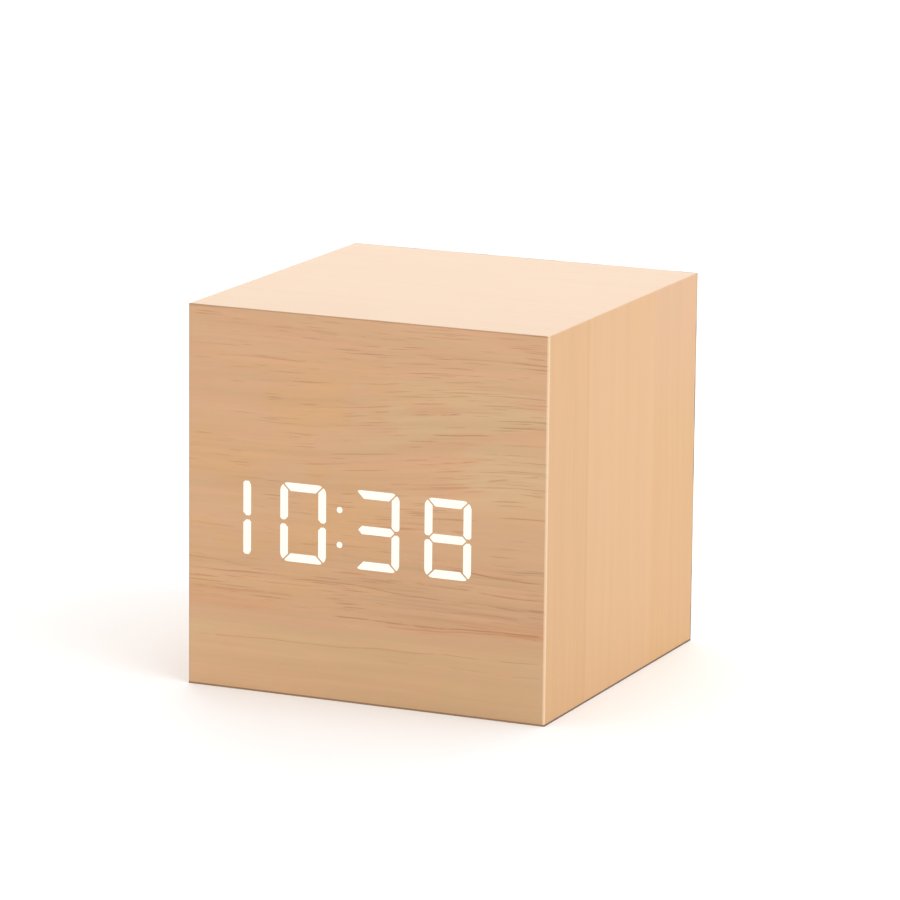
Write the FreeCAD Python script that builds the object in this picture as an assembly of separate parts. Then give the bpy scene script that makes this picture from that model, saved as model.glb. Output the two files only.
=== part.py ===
"""Wooden cube LED desk clock, as an assembly of separate pieces.

Frame: millimetres, +Z up, the digits face -Y, +X is to their right. The origin is the centre of
the underside. Each piece is written to parts/NAME.step.
"""
import FreeCAD, Part
import math
import os

V = FreeCAD.Vector
Y_AXIS = V(0, 1, 0)

# ---------------------------------------------------------------- driving dimensions (mm)
# the cube, over its film
WIDTH = 62.0
DEPTH = 62.0
HEIGHT = 62.0

# case
FILM = 0.3
FILM_EDGE_ROUND = 0.15
WALL = 4.0
FRONT_BOARD = 3.0
CORNER_BLOCK = 6.0
CORNER_BLOCK_LENGTH = 12.0

# digits: half an inch high, with each one's right edge placed from the cube's middle
DIGIT_WIDTH = 8.0
DIGIT_HEIGHT = 12.8
DIGIT_RIGHT_EDGES = (-19.95, -6.8, 5.93, 18.25)
DIGITS_MIDDLE_Z = 28.3
STROKE = 1.35
SEGMENT_GAP = 0.25
MITRE_SHIFT = 0.3
MIDDLE_GAP = 0.66
BAR_END_CHAMFER = 0.3
ONE_END_DROP = 0.45
DIGIT_CORNER_RADIUS = 1.4
BAR_CORNER_ROUND = 0.15
DOT_RADIUS = 0.5
DOT_SPACING = 5.65

# display module
DISPLAY_MARGIN_X = 2.0
DISPLAY_MARGIN_Z = 2.4
DISPLAY_DEPTH = 6.0
DISPLAY_CLEARANCE = 0.15
LIGHT_GUIDE_DEPTH = 2.0
LED_LENGTH = 1.6
LED_WIDTH = 0.8
LED_HEIGHT = 0.6
DOT_LED_SIZE = 0.72
BOARD_THICKNESS = 1.6
DISPLAY_BOARD_MARGIN_X = 1.0
DISPLAY_BOARD_MARGIN_Z = 6.2
SPACER_RADIUS = 2.2
DISPLAY_SCREW_RADIUS = 0.9
DISPLAY_SCREW_BITE = 2.4
SCREW_INSET_X = 3.0
SCREW_INSET_Z = 2.6
PAN_HEAD_RADIUS = 1.7
PAN_HEAD_HEIGHT = 1.2
PAN_HEAD_ROUND = 0.4
SCREW_CLEARANCE = 0.1
RECESS_REACH_SHARE = 0.55
RECESS_ARM_SHARE = 0.12
RECESS_DEPTH = 0.55

# how far a cutting solid stands past the face that it cuts
OVERCUT = 1.0

# rear panel
PANEL = 2.0
PANEL_RECESS = 0.6
PANEL_CLEARANCE = 0.1
PANEL_SCREW_RADIUS = 1.05
PANEL_SCREW_HEAD_RADIUS = 2.1
PANEL_SCREW_HEAD_HEIGHT = 1.1
PANEL_SCREW_LENGTH = 9.0

# battery compartment for three AAA cells lying along X
CELL_DIAMETER = 10.5
CELL_LENGTH = 44.5
CELL_CLEARANCE = 0.15
CELL_NUB_RADIUS = 1.9
CELL_NUB_HEIGHT = 0.8
SLEEVE = 0.15
SLEEVE_END_INSET = 0.6
TUB_WALL = 1.2
TUB_BASE_Z = 10.8
CELL_TOP_BELOW_PANEL = 0.3
CONTACT = 0.4
CONTACT_WIDTH = 7.0
SPRING_WIRE = 0.6
SPRING_RADIUS = 2.4
SPRING_LENGTH = 2.7
SPRING_TURNS = 3
TAIL_WIDTH = 2.0
TAIL_REACH = 1.8
TAIL_CLEARANCE = 0.1

# battery door
DOOR = 1.6
DOOR_GAP = 0.2
DOOR_LEDGE = 0.5
DOOR_LEDGE_GAP = 0.1
DOOR_CORNER_ROUND = 0.6
DOOR_RIM_ROUND = 0.25
HINGE_PIN_RADIUS = 0.8
HINGE_FIT = 0.05
HINGE_PIN_LENGTH = 1.3
BARREL_RADIUS = 1.4
BARREL_GAP = 0.25
HINGE_BAR_HEIGHT = 4.0
HINGE_BAR_DEPTH = 1.8
HINGE_BAR_END = 0.5
HINGE_LIP_GAP = 0.3
SNAP_WIDTH = 8.0
SNAP_REACH = 0.5
SNAP_THICKNESS = 0.6
SNAP_GAP = 0.2
SNAP_ROOT = 1.0
GRIP_GROOVE_COUNT = 4
GRIP_GROOVE_PITCH = 1.5
GRIP_GROOVE_LENGTH = 12.0
GRIP_GROOVE_DEPTH = 0.35
GRIP_GROOVE_WIDTH = 0.75
GRIP_TAPER = 1.2
GRIP_TOP_INSET = 2.2
SCOOP_RADIUS = 5.0
SCOOP_DEPTH = 1.3

# buttons
BUTTON_NAMES = ("set", "up", "down")
BUTTON_RADIUS = 2.35
BUTTON_HOLE_CLEARANCE = 0.15
BUTTON_PITCH = 8.0
BUTTON_MIDDLE_X = -4.0
BUTTON_PROUD = 0.3
BUTTON_FLANGE_RADIUS = 3.1
BUTTON_FLANGE = 0.8
BUTTON_FLANGE_GAP = 0.1
BUTTON_EDGE_ROUND = 0.35
BUTTON_MARK_DEPTH = 0.15
BUTTON_MARK_RADIUS = 0.95
BUTTON_RING_SHARE = 0.6
POCKET_MARGIN = 0.8
POCKET_DEPTH = 0.4
STRIP_GAP = 0.6

# switches, each with a plunger that travels 0.25 mm
SWITCH_SIZE = 6.0
SWITCH_HEIGHT = 3.5
SWITCH_CORNER_ROUND = 0.4
PLUNGER_RADIUS = 1.75
PLUNGER_PROUD = 0.8
PLUNGER_INSIDE = 1.0
PLUNGER_CLEARANCE = 0.1
PLUNGER_WELL = 1.5

# control board, held on two posts of the rear panel
CONTROL_BOARD_MARGIN_Z = 0.9
POST_RADIUS = 1.6
POST_GAP = 0.3
CONTROL_SCREW_RADIUS = 0.8
CONTROL_SCREW_HEAD_RADIUS = 1.5
CONTROL_SCREW_HEAD_HEIGHT = 1.0
CONTROL_SCREW_BITE = 3.4

# round 3.5 x 1.35 mm power socket
JACK_BODY = 6.6
JACK_CORNER_ROUND = 0.5
JACK_LENGTH = 11.0
JACK_COLLAR_RADIUS = 2.8
JACK_COLLAR_CLEARANCE = 0.1
JACK_BORE_RADIUS = 1.8
JACK_BORE_DEPTH = 9.4
JACK_PIN_RADIUS = 0.65
JACK_PIN_LENGTH = 8.2
JACK_TAIL_RADIUS = 0.45
JACK_TAIL_REACH = 0.8
JACK_GAP = 0.8
JACK_CONTACT = 0.3
JACK_CONTACT_WIDTH = 1.6
JACK_CONTACT_LENGTH = 6.5

# wiring
LEAD_DIAMETER = 1.1
LEAD_REACH = 6.0
LEAD_FROM_POST = 2.6
JACK_LEAD_FROM_POST = 4.4
JACK_LEAD_SPREAD = 2.6
ARC_SHARE = 0.45
RIBBON_WIDTH = 7.0
RIBBON_THICKNESS = 0.9
RIBBON_LEVEL_SHARE = 0.3
CONNECTOR_LENGTH = 10.0
CONNECTOR_WIDTH = 5.0
CONNECTOR_HEIGHT = 4.5
CONNECTOR_X = -8.0
CONNECTOR_INSET_Z = 3.1

# parts on the display board's rear face
CHIP_LENGTH = 17.9
CHIP_WIDTH = 7.5
CHIP_HEIGHT = 2.3
CHIP_STANDOFF = 0.2
CHIP_LEADS_PER_SIDE = 14
CHIP_LEAD_PITCH = 1.27
CHIP_LEAD_WIDTH = 0.4
CHIP_LEAD_THICKNESS = 0.25
CHIP_LEAD_REACH = 1.4
CHIP_LEAD_KNEE = 0.56
PARTS_INSET_X = 7.0
CRYSTAL_RADIUS = 1.0
CRYSTAL_LENGTH = 6.0
CRYSTAL_GAP = 0.5
CRYSTAL_OFFSET_X = 3.0
BUZZER_RADIUS = 4.5
BUZZER_HEIGHT = 4.5
BUZZER_HOLE_RADIUS = 0.8
BUZZER_HOLE_DEPTH = 1.8
BUZZER_INSET_Z = 0.6
CAPACITOR_RADIUS = 2.5
CAPACITOR_HEIGHT = 7.0
CAPACITOR_OFFSET_Z = 2.0
RESISTOR_COUNT = 10
RESISTOR_PITCH = 2.4
RESISTOR_LENGTH = 1.6
RESISTOR_WIDTH = 0.8
RESISTOR_HEIGHT = 0.5
THERMISTOR_RADIUS = 1.2
THERMISTOR_LENGTH = 1.6
THERMISTOR_ROUND = 0.4
THERMISTOR_OFFSET_Z = -6.0

# ---------------------------------------------------------------- levels that follow from them
X_FILM = WIDTH / 2
Y_FILM = DEPTH / 2
X_BOARD = X_FILM - FILM
X_INNER = X_BOARD - WALL
Z_BOARD_TOP = HEIGHT - FILM
Z_CEILING = Z_BOARD_TOP - WALL
Z_FLOOR = FILM + WALL
Y_FRONT = -Y_FILM + FILM
Y_REAR = Y_FILM - FILM

DIGITS_BASE_Z = DIGITS_MIDDLE_Z - DIGIT_HEIGHT / 2
CELL_LEFTS = [right - DIGIT_WIDTH for right in DIGIT_RIGHT_EDGES]
COLON_X = (DIGIT_RIGHT_EDGES[1] + CELL_LEFTS[2]) / 2

DISPLAY_LEFT = CELL_LEFTS[0] + DIGIT_WIDTH - STROKE - DISPLAY_MARGIN_X
DISPLAY_RIGHT = DIGIT_RIGHT_EDGES[3] + DISPLAY_MARGIN_X
DISPLAY_LOW = DIGITS_BASE_Z - DISPLAY_MARGIN_Z
DISPLAY_HIGH = DIGITS_BASE_Z + DIGIT_HEIGHT + DISPLAY_MARGIN_Z
Y_DISPLAY_BOARD = Y_FRONT + DISPLAY_DEPTH
Y_DISPLAY_REAR = Y_DISPLAY_BOARD + BOARD_THICKNESS
DISPLAY_BOARD_LEFT = DISPLAY_LEFT - DISPLAY_BOARD_MARGIN_X
DISPLAY_BOARD_RIGHT = DISPLAY_RIGHT + DISPLAY_BOARD_MARGIN_X
DISPLAY_BOARD_LOW = DISPLAY_LOW - DISPLAY_BOARD_MARGIN_Z
DISPLAY_BOARD_HIGH = DISPLAY_HIGH + DISPLAY_BOARD_MARGIN_Z

Y_PANEL = Y_REAR + FILM - PANEL_RECESS
Y_PANEL_INNER = Y_PANEL - PANEL

TUB_INNER_LOW = TUB_BASE_Z + HINGE_BAR_HEIGHT
CELL_PITCH = CELL_DIAMETER + CELL_CLEARANCE
TUB_INNER_HIGH = TUB_INNER_LOW + 3 * CELL_PITCH + CELL_CLEARANCE
TUB_HALF = (CELL_LENGTH + SPRING_LENGTH) / 2 + CONTACT
CELL_MIDDLE_Y = Y_PANEL - DOOR - CELL_TOP_BELOW_PANEL - CELL_DIAMETER / 2
TUB_FLOOR_Y = CELL_MIDDLE_Y - CELL_DIAMETER / 2
TUB_BACK_Y = TUB_FLOOR_Y - TUB_WALL
CELL_Z = [TUB_INNER_LOW + CELL_CLEARANCE + CELL_DIAMETER / 2 + CELL_PITCH * row for row in range(3)]

HINGE_Y = Y_PANEL - BARREL_RADIUS
HINGE_Z = TUB_BASE_Z + HINGE_BAR_HEIGHT / 2
DOOR_OPENING_HALF = TUB_HALF + DOOR_LEDGE
DOOR_OPENING_TOP = TUB_INNER_HIGH + DOOR_LEDGE
DOOR_INNER_Y = Y_PANEL - DOOR
DOOR_HALF = DOOR_OPENING_HALF - DOOR_GAP
DOOR_TOP = DOOR_OPENING_TOP - DOOR_GAP
SNAP_Y = DOOR_INNER_Y + DOOR_LEDGE_GAP

POCKET_RADIUS = BUTTON_RADIUS + BUTTON_HOLE_CLEARANCE + POCKET_MARGIN
STRIP_LOW = DOOR_OPENING_TOP + SCOOP_DEPTH + STRIP_GAP
STRIP_Z = STRIP_LOW + POCKET_RADIUS
BUTTON_X = [BUTTON_MIDDLE_X + BUTTON_PITCH * (place - 1) for place in range(3)]
BUTTON_FLANGE_TOP_Y = Y_PANEL_INNER - BUTTON_FLANGE_GAP
BUTTON_UNDERSIDE_Y = BUTTON_FLANGE_TOP_Y - BUTTON_FLANGE
SWITCH_TOP_Y = BUTTON_UNDERSIDE_Y - PLUNGER_PROUD
Y_CONTROL_OUTER = SWITCH_TOP_Y - SWITCH_HEIGHT
Y_CONTROL_INNER = Y_CONTROL_OUTER - BOARD_THICKNESS
POST_REACH = SWITCH_SIZE / 2 + POST_GAP + POST_RADIUS
POST_X = (BUTTON_X[0] - POST_REACH, BUTTON_X[2] + POST_REACH)
CONTROL_LEFT = POST_X[0] - POST_RADIUS - POST_GAP
CONTROL_RIGHT = POST_X[1] + POST_RADIUS
CONTROL_HALF_HEIGHT = BUTTON_FLANGE_RADIUS + CONTROL_BOARD_MARGIN_Z
JACK_X = CONTROL_RIGHT + JACK_GAP + JACK_BODY / 2
Y_JACK_BACK = Y_PANEL - JACK_LENGTH


# ---------------------------------------------------------------- helpers
def block(low, high):
    """A box between two opposite corners."""
    size = V(*high) - V(*low)
    return Part.makeBox(size.x, size.y, size.z, V(*low))


def rod(radius, start, end):
    """A cylinder between two points."""
    along = V(*end) - V(*start)
    return Part.makeCylinder(radius, along.Length, V(*start), along)


def prism_y(outline, y_low, y_high):
    """A solid whose outline is (x, z) points, running from y_low to y_high."""
    points = [V(x, y_low, z) for x, z in outline]
    face = Part.Face(Part.makePolygon(points + points[:1]))
    return face.extrude(V(0, y_high - y_low, 0))


def prism_x(outline, x_low, x_high):
    """A solid whose outline is (y, z) points, running from x_low to x_high."""
    points = [V(x_low, y, z) for y, z in outline]
    face = Part.Face(Part.makePolygon(points + points[:1]))
    return face.extrude(V(x_high - x_low, 0, 0))


def fused(solids):
    """One solid made of several that meet."""
    whole = solids[0]
    if len(solids) > 1:
        whole = whole.fuse(solids[1:])
    return whole.removeSplitter()


def edges_along(shape, axis):
    """The straight edges of a shape that run along an axis."""
    found = []
    for edge in shape.Edges:
        straight = isinstance(edge.Curve, Part.Line)
        if straight and abs(edge.tangentAt(edge.FirstParameter).dot(axis)) > 0.999:
            found.append(edge)
    return found


def rounded_block(low, high, radius, axis):
    """A box with its four edges along one axis rounded."""
    box = block(low, high)
    return box.makeFillet(radius, edges_along(box, axis))


def rounded_route(points):
    """A wire of straight runs joined by tangent arcs, through or near each point.

    The radius at a corner is a share of the shorter run, over the tangent of half the turn."""
    corners = [V(*point) for point in points]
    edges = []
    here = corners[0]
    for before, corner, after in zip(corners, corners[1:], corners[2:]):
        back = (before - corner).normalize()
        ahead = (after - corner).normalize()
        inner_angle = back.getAngle(ahead)
        trim = ARC_SHARE * min((before - corner).Length, (after - corner).Length)
        middle_way = (back + ahead).normalize()
        radius = trim * math.tan(inner_angle / 2)
        centre = corner + middle_way * (trim / math.cos(inner_angle / 2))
        arc_start = corner + back * trim
        arc_end = corner + ahead * trim
        edges.append(Part.LineSegment(here, arc_start).toShape())
        edges.append(Part.Arc(arc_start, centre - middle_way * radius, arc_end).toShape())
        here = arc_end
    edges.append(Part.LineSegment(here, corners[-1]).toShape())
    return Part.Wire(edges)


def tube_along(points, diameter):
    """A round lead along a route."""
    route = rounded_route(points)
    start_way = V(*points[1]) - V(*points[0])
    ring = Part.Wire(Part.makeCircle(diameter / 2, V(*points[0]), start_way))
    return route.makePipeShell([ring], True, True)


def save(name, *shapes):
    """Write a node: one solid, or a group of separate solids of one kind."""
    solids = [solid for shape in shapes for solid in shape.Solids]
    whole = solids[0] if len(solids) == 1 else Part.makeCompound(solids)
    whole.exportStep(os.path.join("parts", name + ".step"))


# ---------------------------------------------------------------- digits
def mitred_bars():
    """Outlines of the seven bars in a cell whose lower left corner is (0, 0)."""
    wide, high, bar = DIGIT_WIDTH, DIGIT_HEIGHT, STROKE
    mid = high / 2
    gap = SEGMENT_GAP / math.sqrt(2)
    long_side = MITRE_SHIFT + gap
    short_side = MITRE_SHIFT - gap
    tip = MIDDLE_GAP / 2
    top = [(long_side, high), (wide - long_side, high),
           (wide - bar - long_side, high - bar), (bar + long_side, high - bar)]
    upper_right = [(wide - bar, high - bar + short_side), (wide, high + short_side),
                   (wide, mid + tip + BAR_END_CHAMFER), (wide - BAR_END_CHAMFER, mid + tip),
                   (wide - bar / 2 - tip + gap, mid + tip), (wide - bar, mid + bar / 2 + gap)]
    middle = [(bar / 2 + gap, mid), (bar + gap, mid + bar / 2),
              (wide - bar - gap, mid + bar / 2), (wide - bar / 2 - gap, mid),
              (wide - bar - gap, mid - bar / 2), (bar + gap, mid - bar / 2)]
    upper_left = [(wide - x, z) for x, z in upper_right]
    return {
        "a": top,
        "b": upper_right,
        "c": [(x, high - z) for x, z in upper_right],
        "d": [(x, high - z) for x, z in top],
        "e": [(x, high - z) for x, z in upper_left],
        "f": upper_left,
        "g": middle,
    }


def one_bars():
    """Outlines of the two bars of a digit that can only be a 1: its outer ends are plain."""
    wide, high = DIGIT_WIDTH, DIGIT_HEIGHT
    end = high - ONE_END_DROP
    lower_end = mitred_bars()["b"][2:]
    upper = [(wide - STROKE, end - BAR_END_CHAMFER), (wide - STROKE + BAR_END_CHAMFER, end),
             (wide, end)] + lower_end
    return {"b": upper, "c": [(x, high - z) for x, z in upper]}


def digit_bars(place, letters, y_low, y_high):
    """Bars of one digit, trimmed by the digit's rounded outer corners."""
    outlines = one_bars() if letters == ONE else mitred_bars()
    left = CELL_LEFTS[place]
    cell = rounded_block((left, y_low, DIGITS_BASE_Z),
                         (left + DIGIT_WIDTH, y_high, DIGITS_BASE_Z + DIGIT_HEIGHT),
                         DIGIT_CORNER_RADIUS, Y_AXIS)
    bars = []
    for letter in letters:
        outline = [(left + x, DIGITS_BASE_Z + z) for x, z in outlines[letter]]
        bar = prism_y(outline, y_low, y_high).common(cell).Solids[0]
        bars.append(bar.makeFillet(BAR_CORNER_ROUND, edges_along(bar, Y_AXIS)).Solids[0])
    return bars


def colon(y_low, y_high):
    """The two dots between hours and minutes."""
    dots = []
    for side in (-1, 1):
        z = DIGITS_MIDDLE_Z + side * DOT_SPACING / 2
        dots.append(rod(DOT_RADIUS, (COLON_X, y_low, z), (COLON_X, y_high, z)))
    return dots


# which bars each place has a light well for, and which of them are lit
ONE = "bc"
WELLS = (ONE, "abcdefg", "abcdefg", "abcdefg")
LIT = (ONE, "abcdef", "abcdg", "abcdefg")
LIT_NAMES = ("digit_hour_tens", "digit_hour_units", "digit_minute_tens", "digit_minute_units")


def all_wells(y_low, y_high):
    """A solid for each light well of the display."""
    wells = colon(y_low, y_high)
    for place, letters in enumerate(WELLS):
        wells += digit_bars(place, letters, y_low, y_high)
    return wells


def make_lit_digits():
    """The lit bars and dots, in the thickness of the front film. Returns them all."""
    lit = colon(-Y_FILM, Y_FRONT)
    save("colon_dots", *lit)
    for place, letters in enumerate(LIT):
        bars = digit_bars(place, letters, -Y_FILM, Y_FRONT)
        save(LIT_NAMES[place], *bars)
        lit += bars
    return lit


# ---------------------------------------------------------------- case
def make_case_boards():
    """Four boards mitred into a square tube."""
    outer = {"left": -X_BOARD, "right": X_BOARD}
    inner = {"left": -X_INNER, "right": X_INNER}
    for side in ("left", "right"):
        save(side + "_board", prism_y([(outer[side], FILM), (inner[side], Z_FLOOR),
                                       (inner[side], Z_CEILING), (outer[side], Z_BOARD_TOP)],
                                      Y_FRONT, Y_REAR))
    save("bottom_board", prism_y([(-X_BOARD, FILM), (X_BOARD, FILM), (X_INNER, Z_FLOOR),
                                  (-X_INNER, Z_FLOOR)], Y_FRONT, Y_REAR))
    save("top_board", prism_y([(-X_BOARD, Z_BOARD_TOP), (X_BOARD, Z_BOARD_TOP),
                               (X_INNER, Z_CEILING), (-X_INNER, Z_CEILING)], Y_FRONT, Y_REAR))


def make_films(lit):
    """The wood-grain films: front, round the sides and top, under the base, and the rear rim."""
    front = block((-X_FILM, -Y_FILM, FILM), (X_FILM, Y_FRONT, HEIGHT))
    outer_edges = [edge for edge in front.Edges
                   if edge.BoundBox.YMax < -Y_FILM + 0.01 and edge.BoundBox.ZMax > FILM + 0.01]
    front = front.makeFillet(FILM_EDGE_ROUND, outer_edges)
    save("front_film", front.cut(lit))

    wrap = block((-X_FILM, Y_FRONT, FILM), (X_FILM, Y_REAR, HEIGHT))
    top_edges = [edge for edge in edges_along(wrap, Y_AXIS) if edge.BoundBox.ZMin > HEIGHT - 0.01]
    wrap = wrap.makeFillet(FILM_EDGE_ROUND, top_edges)
    wrap = wrap.cut(block((-X_BOARD, Y_FRONT, FILM), (X_BOARD, Y_REAR, Z_BOARD_TOP)))
    save("wrap_film", wrap)

    save("base_film", block((-X_FILM, -Y_FILM, 0), (X_FILM, Y_FILM, FILM)))

    rim = block((-X_FILM, Y_REAR, FILM), (X_FILM, Y_FILM, HEIGHT))
    save("rear_edge_film", rim.cut(block((-X_INNER, Y_REAR, Z_FLOOR),
                                         (X_INNER, Y_FILM, Z_CEILING))))


def display_screw_places():
    """(x, z) of the display board's four screws."""
    xs = (DISPLAY_BOARD_LEFT + SCREW_INSET_X, DISPLAY_BOARD_RIGHT - SCREW_INSET_X)
    zs = (DISPLAY_BOARD_LOW + SCREW_INSET_Z, DISPLAY_BOARD_HIGH - SCREW_INSET_Z)
    return [(x, z) for x in xs for z in zs]


def make_front_board():
    """The front board, with the display's window and the screws' pilot holes."""
    board = block((-X_INNER, Y_FRONT, Z_FLOOR), (X_INNER, Y_FRONT + FRONT_BOARD, Z_CEILING))
    gap = DISPLAY_CLEARANCE
    window = block((DISPLAY_LEFT - gap, Y_FRONT, DISPLAY_LOW - gap),
                   (DISPLAY_RIGHT + gap, Y_FRONT + FRONT_BOARD, DISPLAY_HIGH + gap))
    back = Y_FRONT + FRONT_BOARD
    pilots = [rod(DISPLAY_SCREW_RADIUS, (x, back - DISPLAY_SCREW_BITE, z), (x, back, z))
              for x, z in display_screw_places()]
    save("front_board", board.cut([window] + pilots))


def panel_screw_places():
    """(x, z) of the rear panel's four corner screws."""
    half = X_INNER - CORNER_BLOCK / 2
    zs = (Z_FLOOR + CORNER_BLOCK / 2, Z_CEILING - CORNER_BLOCK / 2)
    return [(x, z) for x in (-half, half) for z in zs]


def make_corner_blocks():
    """Glue blocks in the tube's rear corners, which the rear panel is screwed to."""
    half = CORNER_BLOCK / 2
    bite = Y_PANEL - PANEL_SCREW_LENGTH
    blocks = []
    for x, z in panel_screw_places():
        body = block((x - half, Y_PANEL_INNER - CORNER_BLOCK_LENGTH, z - half),
                     (x + half, Y_PANEL_INNER, z + half))
        blocks.append(body.cut(rod(PANEL_SCREW_RADIUS, (x, bite, z), (x, Y_PANEL_INNER, z))))
    save("corner_blocks", *blocks)


# ---------------------------------------------------------------- display module
def make_display_block():
    """White reflector block with a light well through it for each bar and dot."""
    body = block((DISPLAY_LEFT, Y_FRONT, DISPLAY_LOW), (DISPLAY_RIGHT, Y_DISPLAY_BOARD, DISPLAY_HIGH))
    save("display_block", body.cut(all_wells(Y_FRONT, Y_DISPLAY_BOARD)))
    save("light_guides", *all_wells(Y_FRONT, Y_FRONT + LIGHT_GUIDE_DEPTH))


def make_segment_leds():
    """A small LED at the back of each well, lying along its bar."""
    leds = []
    for well in all_wells(Y_FRONT, Y_DISPLAY_BOARD):
        box = well.BoundBox
        lies_flat = box.XLength >= box.ZLength
        half_x = (LED_LENGTH if lies_flat else LED_WIDTH) / 2
        half_z = (LED_WIDTH if lies_flat else LED_LENGTH) / 2
        if box.XLength < LED_LENGTH and box.ZLength < LED_LENGTH:
            half_x = half_z = DOT_LED_SIZE / 2
        x, z = well.CenterOfMass.x, well.CenterOfMass.z
        leds.append(block((x - half_x, Y_DISPLAY_BOARD - LED_HEIGHT, z - half_z),
                          (x + half_x, Y_DISPLAY_BOARD, z + half_z)))
    save("segment_leds", *leds)


def make_display_board():
    """Display board, its spacers and its screws into the front board."""
    board = block((DISPLAY_BOARD_LEFT, Y_DISPLAY_BOARD, DISPLAY_BOARD_LOW),
                  (DISPLAY_BOARD_RIGHT, Y_DISPLAY_REAR, DISPLAY_BOARD_HIGH))
    front_board_back = Y_FRONT + FRONT_BOARD
    hole = DISPLAY_SCREW_RADIUS + SCREW_CLEARANCE
    holes, spacers, screws = [], [], []
    for x, z in display_screw_places():
        holes.append(rod(hole, (x, Y_DISPLAY_BOARD, z), (x, Y_DISPLAY_REAR, z)))
        bush = rod(SPACER_RADIUS, (x, front_board_back, z), (x, Y_DISPLAY_BOARD, z))
        spacers.append(bush.cut(rod(hole, (x, front_board_back, z), (x, Y_DISPLAY_BOARD, z))))
        shaft = rod(DISPLAY_SCREW_RADIUS, (x, front_board_back - DISPLAY_SCREW_BITE, z),
                    (x, Y_DISPLAY_REAR, z))
        screws.append(shaft.fuse(pan_head(x, Y_DISPLAY_REAR, z, PAN_HEAD_RADIUS, PAN_HEAD_HEIGHT, 1)))
    save("display_board", board.cut(holes))
    save("board_spacers", *spacers)
    save("board_screws", *screws)


def pan_head(x, y, z, radius, height, way):
    """A round screw head on the plane y, standing towards +Y or -Y, with a cross recess."""
    head = rod(radius, (x, y, z), (x, y + way * height, z))
    rim = [edge for edge in head.Edges if abs(edge.BoundBox.Center.y - (y + way * height)) < 0.01
           and abs(edge.BoundBox.YLength) < 0.01]
    head = head.makeFillet(PAN_HEAD_ROUND, rim)
    return head.cut(cross_recess(x, y + way * height, z, radius, way))


def cross_recess(x, y, z, head_radius, way):
    """The cutting tool of a cross recess whose mouth is at the plane y."""
    reach = head_radius * RECESS_REACH_SHARE
    half = head_radius * RECESS_ARM_SHARE
    y_low, y_high = sorted((y - way * RECESS_DEPTH, y + way * RECESS_DEPTH))
    upright = block((x - half, y_low, z - reach), (x + half, y_high, z + reach))
    level = block((x - reach, y_low, z - half), (x + reach, y_high, z + half))
    return upright.fuse(level)


def make_display_board_parts():
    """The clock chip and the other parts on the display board's rear face."""
    base = Y_DISPLAY_REAR
    mid_x = (DISPLAY_BOARD_LEFT + DISPLAY_BOARD_RIGHT) / 2
    left = DISPLAY_BOARD_LEFT + PARTS_INSET_X
    right = DISPLAY_BOARD_RIGHT - PARTS_INSET_X
    mid_z = DIGITS_MIDDLE_Z

    low_y = base + CHIP_STANDOFF
    chip = block((mid_x - CHIP_LENGTH / 2, low_y, mid_z - CHIP_WIDTH / 2),
                 (mid_x + CHIP_LENGTH / 2, low_y + CHIP_HEIGHT, mid_z + CHIP_WIDTH / 2))
    save("clock_chip", chip)
    save("chip_leads", *chip_leads(mid_x, low_y + CHIP_HEIGHT / 2, mid_z))

    crystal_z = mid_z + CHIP_WIDTH / 2 + CHIP_LEAD_REACH + 2 * CRYSTAL_RADIUS + CRYSTAL_GAP
    crystal_x = mid_x + CRYSTAL_OFFSET_X
    save("crystal", rod(CRYSTAL_RADIUS, (crystal_x, base + CRYSTAL_RADIUS, crystal_z),
                        (crystal_x + CRYSTAL_LENGTH, base + CRYSTAL_RADIUS, crystal_z)))

    buzzer_z = DISPLAY_BOARD_LOW + BUZZER_RADIUS + BUZZER_INSET_Z
    buzzer = rod(BUZZER_RADIUS, (mid_x, base, buzzer_z), (mid_x, base + BUZZER_HEIGHT, buzzer_z))
    sound_hole = rod(BUZZER_HOLE_RADIUS, (mid_x, base + BUZZER_HEIGHT - BUZZER_HOLE_DEPTH, buzzer_z),
                     (mid_x, base + BUZZER_HEIGHT, buzzer_z))
    save("buzzer", buzzer.cut(sound_hole))

    can_z = mid_z + CAPACITOR_OFFSET_Z
    save("filter_capacitor", rod(CAPACITOR_RADIUS, (left, base, can_z),
                                 (left, base + CAPACITOR_HEIGHT, can_z)))

    resistors = []
    first = mid_z - RESISTOR_PITCH * (RESISTOR_COUNT / 2 - 1) / 2
    for number in range(RESISTOR_COUNT):
        x = right + RESISTOR_PITCH * (number % 2)
        z = first + RESISTOR_PITCH * (number // 2)
        resistors.append(block((x - RESISTOR_LENGTH / 2, base, z - RESISTOR_WIDTH / 2),
                               (x + RESISTOR_LENGTH / 2, base + RESISTOR_HEIGHT,
                                z + RESISTOR_WIDTH / 2)))
    save("resistors", *resistors)

    bead_z = mid_z + THERMISTOR_OFFSET_Z
    bead = rod(THERMISTOR_RADIUS, (left, base, bead_z), (left, base + THERMISTOR_LENGTH, bead_z))
    rim = max(bead.Edges, key=lambda edge: edge.BoundBox.YMin)
    save("thermistor", bead.makeFillet(THERMISTOR_ROUND, [rim]))


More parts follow.
